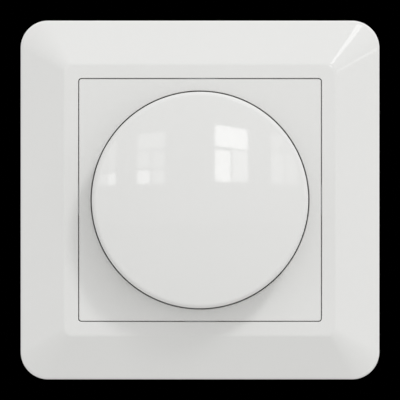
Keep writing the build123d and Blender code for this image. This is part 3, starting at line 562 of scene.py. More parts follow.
@dataclass
class CentrePlate:
    """The square moulding round the knob: skirt, round well with a floor, and two pegs."""

    half: float = field(default_factory=lambda: bench_box("centre_plate")[1].x)
    face: float = field(default_factory=lambda: bench_box("centre_plate")[1].z)
    rear: float = field(default_factory=lambda: bench_box("centre_plate")[0].z + PEG_REACH)
    peg_end: float = field(default_factory=lambda: bench_box("centre_plate")[0].z)
    well: float = field(default_factory=lambda: bench_box("knob")[1].x + KNOB_GAP)
    corner: float = 0.6
    edge_round: float = 0.25
    well_round: float = 0.2
    floor_bottom: float = 4.4
    floor_thickness: float = 1.8
    roof: float = 1.8
    wall: float = 1.6
    hole: float = 5.15
    peg_radius: float = 1.5
    peg_round: float = 0.35
    peg_rays: int = 40
    peg_x: float = 13.0
    peg_y: float = -10.0
    rays: int = 272
    corner_rays: int = 25
    pocket_inset: float = 0.1
    pocket_steps: int = 24
    bend_steps: int = 7
    small_round: float = 0.2

    def section(self) -> Section:
        """Lays out the plate's section: skirt, face, well, floor and the hollow behind.

        Returns:
            The section, closed round the moulding's wall.
        """
        top = self.floor_bottom + self.floor_thickness
        inside = self.half - self.wall
        small = self.small_round
        return Section((
            Turn(self.half, self.rear, small, self.corner),
            Turn(self.half, self.face, self.edge_round, self.corner),
            Turn(self.well, self.face, self.well_round, self.well),
            Turn(self.well, top, 2 * small, self.well),
            Turn(self.hole, top, small, self.hole),
            Turn(self.hole, self.floor_bottom, small, self.hole),
            Turn(inside, self.floor_bottom, small, self.corner),
            Turn(inside, self.rear, small, self.corner),
        ))

    def pocket(self, side: int) -> bpy.types.Object:
        """Makes the hollow that keeps a corner's wall even, between the well and the skirt.

        Args:
            side: which corner, counted anticlockwise.

        Returns:
            A tool that cuts the hollow.
        """
        reach = self.half - self.wall - self.pocket_inset
        round_wall = self.well + self.wall
        start = math.acos(reach / round_wall)
        turn = np.linspace(QUARTER - start, start, self.pocket_steps)
        arc = round_wall * np.stack((np.cos(turn), np.sin(turn)), axis=1)
        bend = np.linspace(0, QUARTER, self.bend_steps)
        corner = reach - self.corner + self.corner * np.stack((np.cos(bend), np.sin(bend)), axis=1)
        outline = np.concatenate((arc, corner))
        angle = side * QUARTER
        turned = outline @ np.array(((math.cos(angle), math.sin(angle)),
                                     (-math.sin(angle), math.cos(angle))))
        return prism("pocket", turned, self.floor_bottom - SUNK, self.face - self.roof)

    def peg(self, x: float, y: float) -> bpy.types.Object:
        """Makes one round-ended locating peg.

        Args:
            x: its place to the right.
            y: its place upwards.

        Returns:
            A piece that reaches into the floor.
        """
        root = self.floor_bottom + self.floor_thickness / 2
        section = Section((
            Turn(0.0, self.peg_end),
            Turn(self.peg_radius, self.peg_end, self.peg_round, self.peg_radius),
            Turn(self.peg_radius, root, 0.0, self.peg_radius),
            Turn(0.0, root),
        ), closed=False)
        grid = PolarRings(rays=self.peg_rays).carry(section.points())
        grid[:, :, 0] += x
        grid[:, :, 1] += y
        return skin("peg", grid, closed=False)

    def build(self) -> bpy.types.Object:
        """Builds the plate with its pegs and hollow corners.

        Returns:
            The finished piece, standing for the CAD's plate.
        """
        rings = PolarRings(self.rays, self.corner_rays)
        plate = skin("centre_moulding", rings.carry(self.section().points()))
        pegs = [self.peg(sign * self.peg_x, sign * self.peg_y) for sign in (1, -1)]
        combine(plate, Join.ADD, pegs)
        combine(plate, Join.CUT, [self.pocket(side) for side in range(4)])
        return settle(plate, "insert", "face_plastic", "centre_plate")


@dataclass
class Knob:
    """The big round knob: domed face, skirt, ribs, and the split hub with its flatted bore."""

    radius: float = field(default_factory=lambda: bench_box("knob")[1].x)
    apex: float = field(default_factory=lambda: bench_box("knob")[1].z)
    skirt_end: float = field(default_factory=lambda: bench_box("knob")[0].z)
    hub_end: float = field(default_factory=lambda: bench_box("knob_hub_ring")[0].z - HUB_REACH)
    shaft_end: float = field(default_factory=lambda: bench_box("shaft")[1].z)
    dome: float = 160.0
    roof: float = 2.0
    wall: float = 1.8
    edge_round: float = 1.2
    skirt_round: float = 0.3
    hub: float = 5.5
    bore: float = 3.05
    bore_flat: float = 2.15
    bore_spare: float = 0.25
    slit: float = 1.0
    slit_top: float = field(default_factory=lambda: bench_box("knob_hub_ring")[1].z)
    rib_count: int = 6
    rib_thickness: float = 1.2
    rib_clear: float = 0.3
    rib_places: int = 12
    face_rings: int = 46
    face_share: float = 0.9
    roof_rings: int = 16
    roof_margin: float = 1.0

    def height(self, radius: float, distance: np.ndarray | float) -> np.ndarray | float:
        """Height of a sphere whose top is at the apex's depth, at a distance from the axis."""
        centre = self.apex - self.dome
        return centre + np.sqrt(radius**2 - np.square(distance))

    def section(self) -> Section:
        """Lays out the knob's section from the middle of its face to the end of its bore.

        Returns:
            The section, which begins and ends on the axis.
        """
        inner = self.dome - self.roof
        inside = self.radius - self.wall
        face = [Turn(float(r), float(self.height(self.dome, r)), corner=float(r))
                for r in self.radius * np.sqrt(np.linspace(0, self.face_share, self.face_rings))]
        roof = [Turn(float(r), float(self.height(inner, r)), corner=float(r))
                for r in np.linspace(inside - self.roof_margin, self.hub + self.roof_margin,
                                     self.roof_rings)]
        edge = float(self.height(self.dome, self.radius))
        top = self.shaft_end + self.bore_spare
        round_ = self.skirt_round
        return Section((
            *face,
            Turn(self.radius, edge, self.edge_round, self.radius),
            Turn(self.radius, self.skirt_end, round_, self.radius),
            Turn(inside, self.skirt_end, round_, inside),
            Turn(inside, float(self.height(inner, inside)), 2 * round_, inside),
            *roof,
            Turn(self.hub, float(self.height(inner, self.hub)), round_, self.hub),
            Turn(self.hub, self.hub_end, round_, self.hub),
            Turn(self.bore, self.hub_end, round_ / 2, self.bore, flat=self.bore_flat),
            Turn(self.bore, top, 0.0, self.bore, flat=self.bore_flat),
            Turn(0.0, top),
        ), closed=False)

    def ribs(self) -> list[bpy.types.Object]:
        """Makes the ribs from the hub to the skirt, with their tops inside the domed roof.

        Returns:
            Pieces whose edges are sunk in the hub, the skirt and the roof.
        """
        reach = np.linspace(self.radius - self.wall / 2, self.hub - self.rib_thickness / 2,
                            self.rib_places)
        tops = self.height(self.dome - self.roof / 2, reach)
        low = self.slit_top + self.rib_clear
        section = np.column_stack((np.append(reach, (reach[-1], reach[0])),
                                   np.append(tops, (low, low))))
        return [blade("rib", section, self.rib_thickness, 0.0,
                      (number + 0.5) * math.tau / self.rib_count)
                for number in range(self.rib_count)]

    def build(self) -> bpy.types.Object:
        """Builds the knob with its ribs and the slit in its hub.

        Returns:
            The finished piece, standing for the CAD's knob.
        """
        knob = skin("knob_moulding", PolarRings().carry(self.section().points()), closed=False)
        combine(knob, Join.ADD, self.ribs())
        half, long = self.slit / 2, self.hub + PAST
        outline = np.array(((-half, -long), (half, -long), (half, long), (-half, long)))
        combine(knob, Join.CUT, [prism("slit", outline, self.hub_end - PAST, self.slit_top)])
        return settle(knob, "knob_and_shaft", "face_plastic", "knob")


@dataclass
class ScrewThread:
    """The rolled thread on a claw screw, as one helical ridge."""

    side: str
    pitch: float = 0.5
    root: float = 1.44
    crest: float = 1.63
    flank: float = 0.4
    facets: int = 30
    clear_of_plate: float = 1.0
    clear_of_end: float = 0.3
    run_out: float = 1.5
    least: float = 0.05

    def build(self) -> bpy.types.Object:
        """Builds the ridge.

        A triangle is carried round the screw's axis and forward by one pitch in each turn. Its
        crest sinks into the shank over the first and last turns, and both ends are closed.

        Returns:
            The finished piece, which rides on its screw.
        """
        low, high = bench_box(f"claw_screw_{self.side}")
        axis_x = (low.x + high.x) / 2
        start = low.z + self.clear_of_end
        length = -self.clear_of_plate - start
        turns = length / self.pitch
        angle = np.linspace(0, turns * math.tau, int(turns * self.facets))
        along = angle / math.tau
        fade = np.clip(np.minimum(along, turns - along) / self.run_out, self.least, 1)
        reach = np.array((self.root, self.crest, self.root))
        radius = self.root + (reach - self.root) * fade[:, None]
        shift = np.array((-self.flank, 0.0, self.flank)) * self.pitch
        places = np.stack((axis_x + radius * np.cos(angle)[:, None],
                           radius * np.sin(angle)[:, None],
                           start + along[:, None] * self.pitch + shift), axis=2)
        count = len(angle)
        number = np.arange(count * 3).reshape(count, 3)
        here, after = number[:-1], number[1:]
        faces = np.stack((here, np.roll(here, -1, axis=1), np.roll(after, -1, axis=1), after),
                         axis=2).reshape(-1, 4).tolist()
        faces += [number[0].tolist(), number[-1][::-1].tolist()]
        ridge = mesh_object(f"claw_thread_{self.side}", places.reshape(-1, 3), faces)
        return settle(ridge, f"claw_screw_{self.side}", "screw_steel")


@dataclass
class ReturnSpring:
    """The push switch's coil spring, which has closed ends, built at its rest length."""

    wire: float = 0.2
    turns: float = 4.5
    closed_turns: float = 0.75
    facets: int = 14
    steps: int = 160
    travel: float = 1.5

    def build(self) -> bpy.types.Object:
        """Builds the coil.

        A circle is carried along a helix, whose turns lie against each other at both ends and
        share out the remaining height between them. The end faces are closed.

        Returns:
            The finished piece, which stands for the CAD's spring.
        """
        low, high = bench_box("return_spring")
        height = high.z - low.z
        radius = (high.x - low.x) / 2 - self.wire
        turn = np.linspace(0, self.turns, self.steps)
        foot = 2 * self.wire * self.closed_turns
        rise = np.interp(turn, (0, self.closed_turns, self.turns - self.closed_turns, self.turns),
                         (0, foot, height - 2 * self.wire - foot, height - 2 * self.wire))
        angle = turn * math.tau
        outwards = np.stack((np.cos(angle), np.sin(angle), 0 * angle), axis=1)
        path = outwards * radius + np.stack((0 * rise, 0 * rise, rise), axis=1)
        ahead = np.gradient(path, axis=0)
        ahead /= np.linalg.norm(ahead, axis=1)[:, None]
        aside = np.cross(ahead, outwards)
        around = np.linspace(0, math.tau, self.facets, endpoint=False)
        tube = path[:, None] + self.wire * (np.cos(around)[:, None] * outwards[:, None]
                                            + np.sin(around)[:, None] * aside[:, None])
        ends = [np.tile(path[end], (1, self.facets, 1)) for end in (0, -1)]
        grid = np.concatenate((ends[0], tube, ends[1]))
        grid += ((low.x + high.x) / 2, (low.y + high.y) / 2, low.z + self.wire)
        coil = settle(skin("return_coil", grid, closed=False), "insert", "spring_steel",
                      "return_spring")
        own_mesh(coil)
        LOG.info("return spring: %.2f mm tall at rest", height)
        return coil


UNSTRETCHED: Triple = (1.0, 1.0, 1.0)
GLASSY_INDEX = 1.5  # refractive index of the plastics, the lacquers and the glass


def shades(colour: Triple, share: float) -> tuple[Triple, Triple]:
    """A darker and a lighter version of a colour, by that share of it."""
    return (tuple(c * (1 - share) for c in colour),
            tuple(min(1.0, c * (1 + share)) for c in colour))


class Signal:
    """A shader socket that takes part in Python arithmetic."""

    def __init__(self, shader: "Shader", socket: bpy.types.NodeSocket) -> None:
        """Keeps the socket and the shader that it belongs to."""
        self.shader = shader
        self.socket = socket

    def maths(self, operation: str, *values: "Signal | float") -> "Signal":
        """Adds one Math node.

        Args:
            operation: the node's operation.
            values: its inputs, in order.

        Returns:
            The node's result.
        """
        settings = {"operation": operation}
        return self.shader.node("ShaderNodeMath", settings, dict(enumerate(values)))

    def __add__(self, other: "Signal | float") -> "Signal":
        """Sum."""
        return self.maths("ADD", self, other)

    def __radd__(self, other: float) -> "Signal":
        """Sum, reflected."""
        return self.maths("ADD", other, self)

    def __sub__(self, other: "Signal | float") -> "Signal":
        """Difference."""
        return self.maths("SUBTRACT", self, other)

    def __rsub__(self, other: float) -> "Signal":
        """Difference, reflected."""
        return self.maths("SUBTRACT", other, self)

    def __mul__(self, other: "Signal | float") -> "Signal":
        """Product."""
        return self.maths("MULTIPLY", self, other)

    def __rmul__(self, other: float) -> "Signal":
        """Product, reflected."""
        return self.maths("MULTIPLY", other, self)

    def sine(self) -> "Signal":
        """Sine of an angle in radians."""
        return self.maths("SINE", self)

    def root(self) -> "Signal":
        """Square root."""
        return self.maths("SQRT", self)

    def about(self, level: float, swing: float) -> "Signal":
        """Turns a signal between 0 and 1 into one that swings that much about a level."""
        return level + swing * (self - 0.5)

    def step(self, low: float, high: float) -> "Signal":
        """Rises smoothly from 0 at low to 1 at high."""
        settings = {"interpolation_type": "SMOOTHSTEP"}
        return self.shader.node("ShaderNodeMapRange", settings, {0: self, 1: low, 2: high})


class Shader:
    """One procedural material, or the world, and the nodes that it is made of."""

    def __init__(self, name: str, world: bool = False) -> None:
        """Starts an empty material, or an empty world.

        Args:
            name: its name.
            world: whether it is a world.
        """
        self.world = world
        self.material = (bpy.data.worlds if world else bpy.data.materials).new(name)
        self.material.use_nodes = True
        self.tree = self.material.node_tree
        self.tree.nodes.clear()

    def node(self, kind: str, settings: Mapping[str, Any], sockets: Mapping[int | str, Any],
             output: int | str = 0) -> Signal:
        """Adds one node: its settings first, then its sockets.

        Args:
            kind: the node's type.
            settings: its properties.
            sockets: values or signals for its inputs, by number or name.
            output: which output is wanted.

        Returns:
            That output.
        """
        added = self.tree.nodes.new(kind)
        for key, value in settings.items():
            setattr(added, key, value)
        for key, value in sockets.items():
            if isinstance(value, Signal):
                self.tree.links.new(value.socket, added.inputs[key])
            else:
                added.inputs[key].default_value = value
        return Signal(self, added.outputs[output])

    def place(self, stretch: Triple = UNSTRETCHED) -> Signal:
        """Object coordinates, with each axis stretched by its own factor."""
        here = self.node("ShaderNodeTexCoord", {}, {}, "Object")
        return self.node("ShaderNodeMapping", {}, {"Vector": here, "Scale": stretch})

    def axes(self) -> tuple[Signal, Signal, Signal]:
        """Splits the object coordinates.

        Returns:
            The three of them in metres.
        """
        here = self.node("ShaderNodeTexCoord", {}, {}, "Object")
        split = self.node("ShaderNodeSeparateXYZ", {}, {0: here})
        outputs = split.socket.node.outputs
        return Signal(self, outputs[0]), Signal(self, outputs[1]), Signal(self, outputs[2])

    def noise(self, size: float, detail: float = 2.0, stretch: Triple = UNSTRETCHED) -> Signal:
        """Soft noise between about 0.2 and 0.8.

        Args:
            size: width of its features in millimetres.
            detail: how many finer layers it has.
            stretch: factors along the three axes.

        Returns:
            The noise.
        """
        sockets = {"Vector": self.place(stretch), "Scale": 1 / (size * MILLIMETRE),
                   "Detail": detail}
        return self.node("ShaderNodeTexNoise", {}, sockets)

    def cells(self, size: float) -> Signal:
        """Flat cells, each with its own level.

        Args:
            size: their width in millimetres.

        Returns:
            The levels.
        """
        sockets = {"Vector": self.place(), "Scale": 1 / (size * MILLIMETRE)}
        cell = self.node("ShaderNodeTexVoronoi", {}, sockets, "Color")
        return self.node("ShaderNodeRGBToBW", {}, {0: cell})

    def tint(self, factor: Signal, low: Triple, high: Triple) -> Signal:
        """Blends two colours, which a Mix node takes at its inputs 6 and 7 and gives at output 2.

        Args:
            factor: 0 for the first colour and 1 for the second.
            low: the first colour.
            high: the second colour.

        Returns:
            The blend.
        """
        settings = {"data_type": "RGBA"}
        sockets = {0: factor, 6: (*low, 1.0), 7: (*high, 1.0)}
        return self.node("ShaderNodeMix", settings, sockets, 2)

    def bump(self, height: Signal, depth: float) -> Signal:
        """Turns heights from 0 to 1 into a relief of that depth in millimetres."""
        sockets = {"Height": height, "Strength": 1.0, "Distance": depth * MILLIMETRE}
        return self.node("ShaderNodeBump", {}, sockets)

    def finish(self, sockets: Mapping[str, Any]) -> bpy.types.Material:
        """Ends the material in one surface shader.

        Args:
            sockets: signals for what varies and values for what is the same everywhere.

        Returns:
            The material.
        """
        self.end(self.node("ShaderNodeBsdfPrincipled", {}, sockets))
        return self.material

    def end(self, surface: Signal) -> None:
        """Gives the tree its output.

        Args:
            surface: the surface, or the world's background, that it shows.
        """
        kind = "ShaderNodeOutputWorld" if self.world else "ShaderNodeOutputMaterial"
        output = self.tree.nodes.new(kind)
        self.tree.links.new(surface.socket, output.inputs["Surface"])


@dataclass(frozen=True)
class GlossPlastic:
    """White thermoplastic from a polished tool: faint waviness, fine flow and a clear gloss."""

    colour: Triple = (0.745, 0.745, 0.733)
    shade: float = 0.01
    roughness: float = 0.04
    uneven: float = 0.02
    uneven_size: float = 2.5
    flow_size: float = 14.0
    flow_stretch: Triple = (1.0, 0.4, 1.0)
    sink_size: float = 9.0
    sink_depth: float = 0.0016
    peel_size: float = 1.1
    peel_depth: float = 0.0003

    def build(self, name: str) -> bpy.types.Material:
        """Builds the finish: flow in its colour, uneven gloss, sinks and peel in its relief.

        Args:
            name: the material's name.

        Returns:
            The material.
        """
        shader = Shader(name)
        flow = shader.noise(self.flow_size, detail=3.0, stretch=self.flow_stretch)
        rough = shader.noise(self.uneven_size, detail=4.0).about(self.roughness, self.uneven)
        relief = (shader.noise(self.sink_size) * self.sink_depth
                  + shader.noise(self.peel_size) * self.peel_depth)
        return shader.finish({"Base Color": shader.tint(flow, *shades(self.colour, self.shade)),
                              "Roughness": rough, "Normal": shader.bump(relief, 1.0),
                              "IOR": GLASSY_INDEX})


@dataclass(frozen=True)
class SparkedPlastic:
    """Moulding from a spark-eroded tool: a fine even grain, with faint flow in its colour."""

    colour: Triple
    shade: float = 0.08
    roughness: float = 0.5
    uneven: float = 0.18
    flow_size: float = 6.0
    flow_stretch: Triple = (1.0, 0.35, 1.0)
    grain_size: float = 0.22
    grain_depth: float = 0.012

    def build(self, name: str) -> bpy.types.Material:
        """Builds the finish: flow in its colour, and one grain in its gloss and relief.

        Args:
            name: the material's name.

        Returns:
            The material.
        """
        shader = Shader(name)
        flow = shader.noise(self.flow_size, detail=4.0, stretch=self.flow_stretch)
        grain = shader.noise(self.grain_size)
        return shader.finish({"Base Color": shader.tint(flow, *shades(self.colour, self.shade)),
                              "Roughness": grain.about(self.roughness, self.uneven),
                              "Normal": shader.bump(grain, self.grain_depth),
                              "IOR": GLASSY_INDEX})


class Lay(Enum):
    """Which way the marks on a metal surface run."""

    ROLLED = "rolled"
    TURNED = "turned"
    DRAWN = "drawn"
    CRYSTAL = "crystal"


@dataclass(frozen=True)
class Metal:
    """Plated or bare metal with the marks that its making left, under faint clouds of stain."""

    colour: Triple
    stain: Triple
    lay: Lay = Lay.ROLLED
    roughness: float = 0.3
    uneven: float = 0.16
    mark_size: float = 0.25
    mark_depth: float = 0.003
    mark_share: float = 0.3
    drawn_out: float = 0.05
    ring_pitch: float = 0.14
    ring_share: float = 0.3
    crystal_size: float = 1.5
    crystal_share: float = 0.6
    cloud_size: float = 5.0
    cloud_edges: tuple[float, float] = (0.35, 0.7)
    cloud_share: float = 0.7
    cloud_rough: float = 0.06

    def marks(self, shader: Shader) -> Signal:
        """Lays out the surface's marks, from 0 to 1.

        Rolled marks are noise drawn out along the sheet, drawn marks along the depth, turned marks
        are rings at a fixed pitch round the axis of the control, and crystals are flat cells.

        Args:
            shader: the material that they belong to.

        Returns:
            The marks.
        """
        if self.lay is Lay.TURNED:
            x, _, z = shader.axes()
            rings = ((x * x + z * z).root() * (math.tau / (self.ring_pitch * MILLIMETRE))).sine()
            return rings * self.ring_share + shader.noise(self.mark_size, detail=3.0)
        if self.lay is Lay.CRYSTAL:
            return (shader.cells(self.crystal_size) * self.crystal_share
                    + (1 - self.crystal_share) * shader.noise(self.mark_size, detail=3.0))
        along_sheet = self.lay is Lay.ROLLED
        stretch = (1.0, 1.0, self.drawn_out) if along_sheet else (1.0, self.drawn_out, 1.0)
        return shader.noise(self.mark_size, detail=4.0, stretch=stretch)

    def build(self, name: str) -> bpy.types.Material:
        """Builds the finish: marks in its colour, gloss and relief, and stain that dulls it.

        Args:
            name: the material's name.

        Returns:
            The material.
        """
        shader = Shader(name)
        marks = self.marks(shader)
        cloud = shader.noise(self.cloud_size, detail=4.0).step(*self.cloud_edges)
        stained = cloud * self.cloud_share + marks * self.mark_share
        rough = marks.about(self.roughness, self.uneven) + self.cloud_rough * cloud
        return shader.finish({"Base Color": shader.tint(stained, self.colour, self.stain),
                              "Roughness": rough, "Metallic": 1.0,
                              "Normal": shader.bump(marks, self.mark_depth)})


@dataclass(frozen=True)
class Speckled:
    """A dull pressed or printed material with specks: core powder, carbon track, sheet pad."""

    colour: Triple
    patch: Triple
    size: float = 0.3
    edges: tuple[float, float] = (0.42, 0.62)
    depth: float = 0.01
    roughness: float = 0.6
    uneven: float = 0.25
    uneven_size: float = 2.0
    metallic: float = 0.0

    def build(self, name: str) -> bpy.types.Material:
        """Builds the finish: specks in its colour and relief, and uneven gloss.

        Args:
            name: the material's name.

        Returns:
            The material.
        """
        shader = Shader(name)
        patches = shader.noise(self.size, detail=3.0)
        edged = patches.step(*self.edges)
        rough = shader.noise(self.uneven_size).about(self.roughness, self.uneven)
        return shader.finish({"Base Color": shader.tint(edged, self.colour, self.patch),
                              "Roughness": rough, "Metallic": self.metallic,
                              "Normal": shader.bump(patches, self.depth), "IOR": GLASSY_INDEX})


@dataclass(frozen=True)
class Enamelled(Speckled):
    """A glossy lacquer or dipped coat over wire or a component, pooled in patches."""

    size: float = 1.6
    edges: tuple[float, float] = (0.35, 0.65)
    depth: float = 0.02
    roughness: float = 0.2
    uneven: float = 0.2
    uneven_size: float = 0.5


@dataclass(frozen=True)
class Laminate:
    """Circuit board: resin with two crossed sets of fibres, lacquered."""

    resin: Triple = (0.24, 0.13, 0.055)
    fibre: Triple = (0.36, 0.22, 0.1)
    fibre_size: float = 0.35
    drawn_out: float = 0.1
    weave_edges: tuple[float, float] = (0.38, 0.62)
    weave_depth: float = 0.006
    roughness: float = 0.38
    uneven: float = 0.2

    def build(self, name: str) -> bpy.types.Material:
        """Builds the finish: the mean of two noises, drawn out along the board's two sides.

        Args:
            name: the material's name.

        Returns:
            The material.
        """
        shader = Shader(name)
        along = shader.noise(self.fibre_size, detail=3.0, stretch=(self.drawn_out, 1.0, 1.0))
        across = shader.noise(self.fibre_size, detail=3.0, stretch=(1.0, 1.0, self.drawn_out))
        weave = along * 0.5 + across * 0.5
        edged = weave.step(*self.weave_edges)
        return shader.finish({"Base Color": shader.tint(edged, self.resin, self.fibre),
                              "Roughness": weave.about(self.roughness, self.uneven),
                              "Normal": shader.bump(weave, self.weave_depth),
                              "IOR": GLASSY_INDEX})


ZINC = ((0.62, 0.64, 0.66), (0.5, 0.52, 0.55))
BRIGHT = ((0.72, 0.71, 0.69), (0.6, 0.59, 0.57))
FINISHES = {
    "face_plastic": GlossPlastic(),
    "plated_steel": Metal(*ZINC, lay=Lay.ROLLED, roughness=0.32),
    "claw_steel": Metal((0.66, 0.58, 0.4), (0.52, 0.47, 0.36), lay=Lay.CRYSTAL, roughness=0.33),
    "screw_steel": Metal((0.6, 0.62, 0.65), (0.48, 0.5, 0.54), lay=Lay.DRAWN, roughness=0.28),
    "spring_steel": Metal((0.5, 0.5, 0.5), (0.34, 0.34, 0.35), lay=Lay.DRAWN, roughness=0.26),
    "brass": Metal((0.8, 0.6, 0.28), (0.62, 0.43, 0.18), lay=Lay.TURNED, roughness=0.26),
    "shaft_metal": Metal((0.74, 0.74, 0.74), (0.62, 0.62, 0.63), lay=Lay.DRAWN, roughness=0.24),
    "can_steel": Metal(*BRIGHT, lay=Lay.DRAWN, roughness=0.3),
    "tinned_copper": Metal((0.7, 0.69, 0.66), (0.6, 0.56, 0.48), lay=Lay.DRAWN, roughness=0.35),
    "rivet_aluminium": Metal((0.78, 0.78, 0.78), (0.66, 0.66, 0.67), lay=Lay.CRYSTAL,
                             roughness=0.36),
    "housing_grey": SparkedPlastic((0.235, 0.24, 0.245)),
    "lid_grey": SparkedPlastic((0.36, 0.365, 0.37), roughness=0.46),
    "black_moulding": SparkedPlastic((0.022, 0.022, 0.024), shade=0.2, roughness=0.42),
    "slider_white": SparkedPlastic((0.66, 0.65, 0.61), roughness=0.4),
    "track_carbon": Speckled((0.02, 0.02, 0.021), (0.055, 0.055, 0.057), size=0.12),
    "ferrite": Speckled((0.05, 0.048, 0.047), (0.12, 0.115, 0.11), size=0.25,
                        roughness=0.55),
    "pad_grey": Speckled((0.42, 0.43, 0.44), (0.52, 0.53, 0.54), size=0.3,
                         roughness=0.72),
    "board_laminate": Laminate(),
    "copper_wire": Enamelled((0.56, 0.2, 0.075), (0.38, 0.12, 0.05), metallic=0.8,
                             roughness=0.24),
    "film_yellow": Enamelled((0.68, 0.42, 0.06), (0.58, 0.34, 0.04), roughness=0.33),
    "film_blue": Enamelled((0.045, 0.13, 0.36), (0.03, 0.09, 0.27), roughness=0.3),
    "resistor_beige": Enamelled((0.55, 0.43, 0.28), (0.47, 0.36, 0.23), roughness=0.34),
    "diac_glass": Enamelled((0.2, 0.07, 0.045), (0.12, 0.035, 0.03), roughness=0.1),
}


@dataclass
class Dresser:
    """Gives each piece the material of its slot, built once for each slot."""

    made: dict[str, bpy.types.Material] = field(default_factory=dict)

    def material(self, slot: str) -> bpy.types.Material:
        """Finds a slot's material, and builds it when it is first asked for.

        Args:
            slot: the slot's name in the record.

        Returns:
            The material.
        """
        if slot not in self.made:
            self.made[slot] = FINISHES[slot].build(f"{slot}_finish")
        return self.made[slot]

    def dress_nodes(self, nodes: Mapping[str, bpy.types.Object]) -> None:
        """Puts procedural materials into the material slots of the CAD's own nodes.

        Args:
            nodes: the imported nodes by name.
        """
        for name, node in nodes.items():
            for place in node.material_slots:
                place.material = self.material(place.material.name.split(".")[0])
            LOG.info("%s: %d finishes", name, len(node.material_slots))

    def dress_piece(self, piece: bpy.types.Object) -> None:
        """Puts the material of its slot on a new piece."""
        piece.data.materials.clear()
        piece.data.materials.append(self.material(piece["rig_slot"]))


@dataclass(frozen=True)
class Window:
    """A tall window behind the camera, which shows in the gloss.

    Attributes:
        left: its left edge, in metres to the right of the axis.
        right: its right edge.
        top: its upper edge, in metres above the axis.
        levels: heights of its transoms and lower edge, from the top down.
        rows: radiance of the panes in each row, from the top down and from left to right.
        skew: how much farther away its right edge is than its left, as a share.
    """

    left: float
    right: float
    top: float
    levels: tuple[float, ...]
    rows: tuple[tuple[float, ...], ...]
    skew: float = 0.0


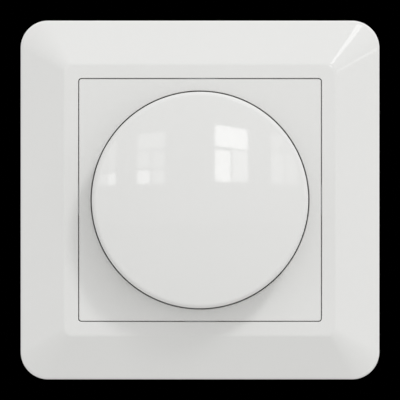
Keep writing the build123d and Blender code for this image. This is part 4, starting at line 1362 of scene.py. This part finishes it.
@dataclass
class Studio:
    """Camera, floor and plain soft light, with the windows that the gloss picks up.

    Lengths are in metres here, apart from the floor's grain, and directions are in the frame's
    axes, where x is right, y is away from the camera and z is up.

    Attributes:
        view_width: width of what the camera sees, at the face.
        floor_shade: share of the floor's colour that its darker patches keep.
        ambient: the world's level all round.
        backdrop: its level behind and above the object.
        shade: how much darker it is behind and to the left.
        behind_edges: where behind begins and where it is full, along y; the next two are the
            same for above, along z, and for left, against x.
        key_level: light that the key gives a surface that faces it, over pi.
        windows: seen from left to right; the last one is far to the side, and makes the faint
            streak at the corner.
    """

    camera_distance: float = 2.8
    view_width: float = 0.09075
    sensor: float = 36.0
    clip_start: float = 0.05
    floor_drop: float = 0.25
    floor_radius: float = 3.5
    floor_places: int = 128
    floor_colour: Triple = (0.62, 0.62, 0.613)
    floor_shade: float = 0.97
    floor_grain: float = 60.0
    floor_roughness: float = 0.8
    floor_uneven: float = 0.1
    ambient: float = 0.855
    backdrop: float = 1.4
    shade: float = 0.35
    behind_edges: tuple[float, float] = (0.05, 0.6)
    above_edges: tuple[float, float] = (-0.5, 0.5)
    left_edges: tuple[float, float] = (0.1, 0.8)
    key_direction: Triple = (0.397, -0.614, 0.682)
    key_distance: float = 2.5
    key_size: float = 0.44
    key_level: float = 0.232
    glint_direction: Triple = (0.251, -0.727, 0.64)
    glint_size: float = 0.42
    glint_radiance: float = 2.9
    window_distance: float = 3.0
    window_bar: float = 0.022
    windows: tuple[Window, ...] = (
        Window(-0.935, -0.765, 0.56, (0.25, 0.125), ((0.6, 0.9), (1.4, 3.3)), -0.08),
        Window(-0.577, -0.304, 0.62, (0.453, 0.277, 0.134), ((1.3,), (1.3, 1.1), (3.2, 1.4)),
               -0.03),
        Window(0.125, 0.439, 0.67, (0.458, 0.152), ((4.3,), (4.1, 2.5)), 0.08),
        Window(0.641, 0.906, 0.61, (0.45, 0.134), ((1.1, 0.9), (1.3, 1.0)), 0.06),
        Window(2.9, 3.9, 0.34, (0.12,), ((1.9,),)),
    )

    def camera(self) -> None:
        """Places the camera straight in front, with the photograph's width at the face."""
        data = bpy.data.cameras.new("camera")
        data.sensor_width = self.sensor
        face = bench_box("cover_frame")[1].z * MILLIMETRE
        data.lens = self.sensor * (self.camera_distance - face) / self.view_width
        data.clip_start = self.clip_start
        camera = add_object("camera", data)
        camera.location = (0.0, -self.camera_distance, 0.0)
        camera.rotation_euler = (QUARTER, 0.0, 0.0)
        bpy.context.scene.camera = camera

    def lamp(self, name: str, place: Vector, size: tuple[float, float], radiance: float,
             shape: str, aim: Vector, glossy: bool = True) -> None:
        """Adds an area lamp that no camera sees.

        Its power is its radiance times pi times its area.

        Args:
            name: the lamp's name.
            place: its place in metres.
            size: its width and height.
            radiance: how bright its surface is.
            shape: the lamp's shape.
            aim: the direction that it shines in.
            glossy: whether gloss shows it.
        """
        data = bpy.data.lights.new(name, "AREA")
        data.shape = shape
        data.size, data.size_y = size
        area = size[0] * size[1] * (math.pi / 4 if shape == "DISK" else 1)
        data.energy = radiance * math.pi * area
        lamp = add_object(name, data)
        lamp.location = place
        lamp.rotation_euler = aim.to_track_quat("-Z", "Y").to_euler()
        lamp.visible_camera = False
        lamp.visible_glossy = glossy

    def key(self) -> None:
        """Adds the soft key from the upper right, at its level on a surface that faces it."""
        place = Vector(self.key_direction).normalized() * self.key_distance
        spread = (self.key_size / 2 / self.key_distance) ** 2
        size = (self.key_size, self.key_size)
        self.lamp("key", place, size, self.key_level / spread, "DISK", -place, glossy=False)

    def glint(self) -> None:
        """Adds the small source near the key that shows in the gloss."""
        place = Vector(self.glint_direction).normalized() * self.key_distance
        size = (self.glint_size, self.glint_size)
        self.lamp("glint", place, size, self.glint_radiance, "DISK", -place)

    def panes(self) -> None:
        """Adds the windows' panes, with gaps where the bars are."""
        for number, window in enumerate(self.windows):
            levels = (window.top, *window.levels)
            for high, low, row in zip(levels, levels[1:], window.rows):
                edges = np.linspace(0, 1, len(row) + 1)
                away = 1 + window.skew * (edges - 0.5)
                across = (window.left + (window.right - window.left) * edges) * away
                depth = -self.window_distance * away
                for column, radiance in enumerate(row):
                    middle = (away[column] + away[column + 1]) / 2
                    left = Vector((across[column], depth[column], 0.0))
                    right = Vector((across[column + 1], depth[column + 1], 0.0))
                    size = ((right - left).length - self.window_bar,
                            (high - low - self.window_bar) * middle)
                    place = (left + right) / 2 + Vector((0.0, 0.0, (low + high) / 2 * middle))
                    aim = Vector((0.0, 0.0, 1.0)).cross(right - left)
                    self.lamp(f"pane_{number}", place, size, radiance, "RECTANGLE", aim)

    def world(self) -> None:
        """Lights the object evenly, more from above behind and less from the left behind."""
        shader = Shader("surroundings", world=True)
        seen = shader.node("ShaderNodeLightPath", {}, {}, "Is Camera Ray")
        across, depth, rise = shader.axes()
        behind = depth.step(*self.behind_edges)
        above, left = rise.step(*self.above_edges), (0 - across).step(*self.left_edges)
        level = (self.ambient + (self.backdrop - self.ambient) * behind * above
                 - self.shade * behind * left)
        sockets = {"Color": (1.0, 1.0, 1.0, 1.0), "Strength": (1 - seen) * level}
        shader.end(shader.node("ShaderNodeBackground", {}, sockets))
        bpy.context.scene.world = shader.material

    def floor(self) -> None:
        """Lays a plain pale floor below the object, seen only from above."""
        rim = circle(self.floor_radius, places=self.floor_places)
        rim = np.column_stack((rim, np.full(len(rim), -self.floor_drop)))
        mesh = bpy.data.meshes.new("floor")
        mesh.from_pydata(rim.tolist(), [], [list(range(len(rim)))])
        floor = add_object("floor", mesh)
        shader = Shader("floor_paint")
        grain = shader.noise(self.floor_grain, detail=3.0)
        darker = tuple(c * self.floor_shade for c in self.floor_colour)
        back = shader.node("ShaderNodeNewGeometry", {}, {}, "Backfacing")
        mesh.materials.append(shader.finish({
            "Base Color": shader.tint(grain, darker, self.floor_colour),
            "Roughness": grain.about(self.floor_roughness, self.floor_uneven),
            "Alpha": 1 - back}))

    def build(self) -> None:
        """Builds the studio."""
        self.camera()
        self.key()
        self.glint()
        self.panes()
        self.world()
        self.floor()
        bpy.context.scene.view_settings.view_transform = "Standard"


def main() -> None:
    """Builds the studio and the face, and dresses every piece."""
    logging.basicConfig(level=logging.INFO, format="%(message)s")
    Studio().build()
    dresser = Dresser()
    dresser.dress_nodes(frame["nodes"])
    pieces = [CoverFrame().build(), CentrePlate().build(), Knob().build()]
    pieces += [ScrewThread(side).build() for side in ("right", "left")]
    pieces.append(ReturnSpring().build())
    for piece in pieces:
        dresser.dress_piece(piece)


if __name__ == "__main__":
    main()
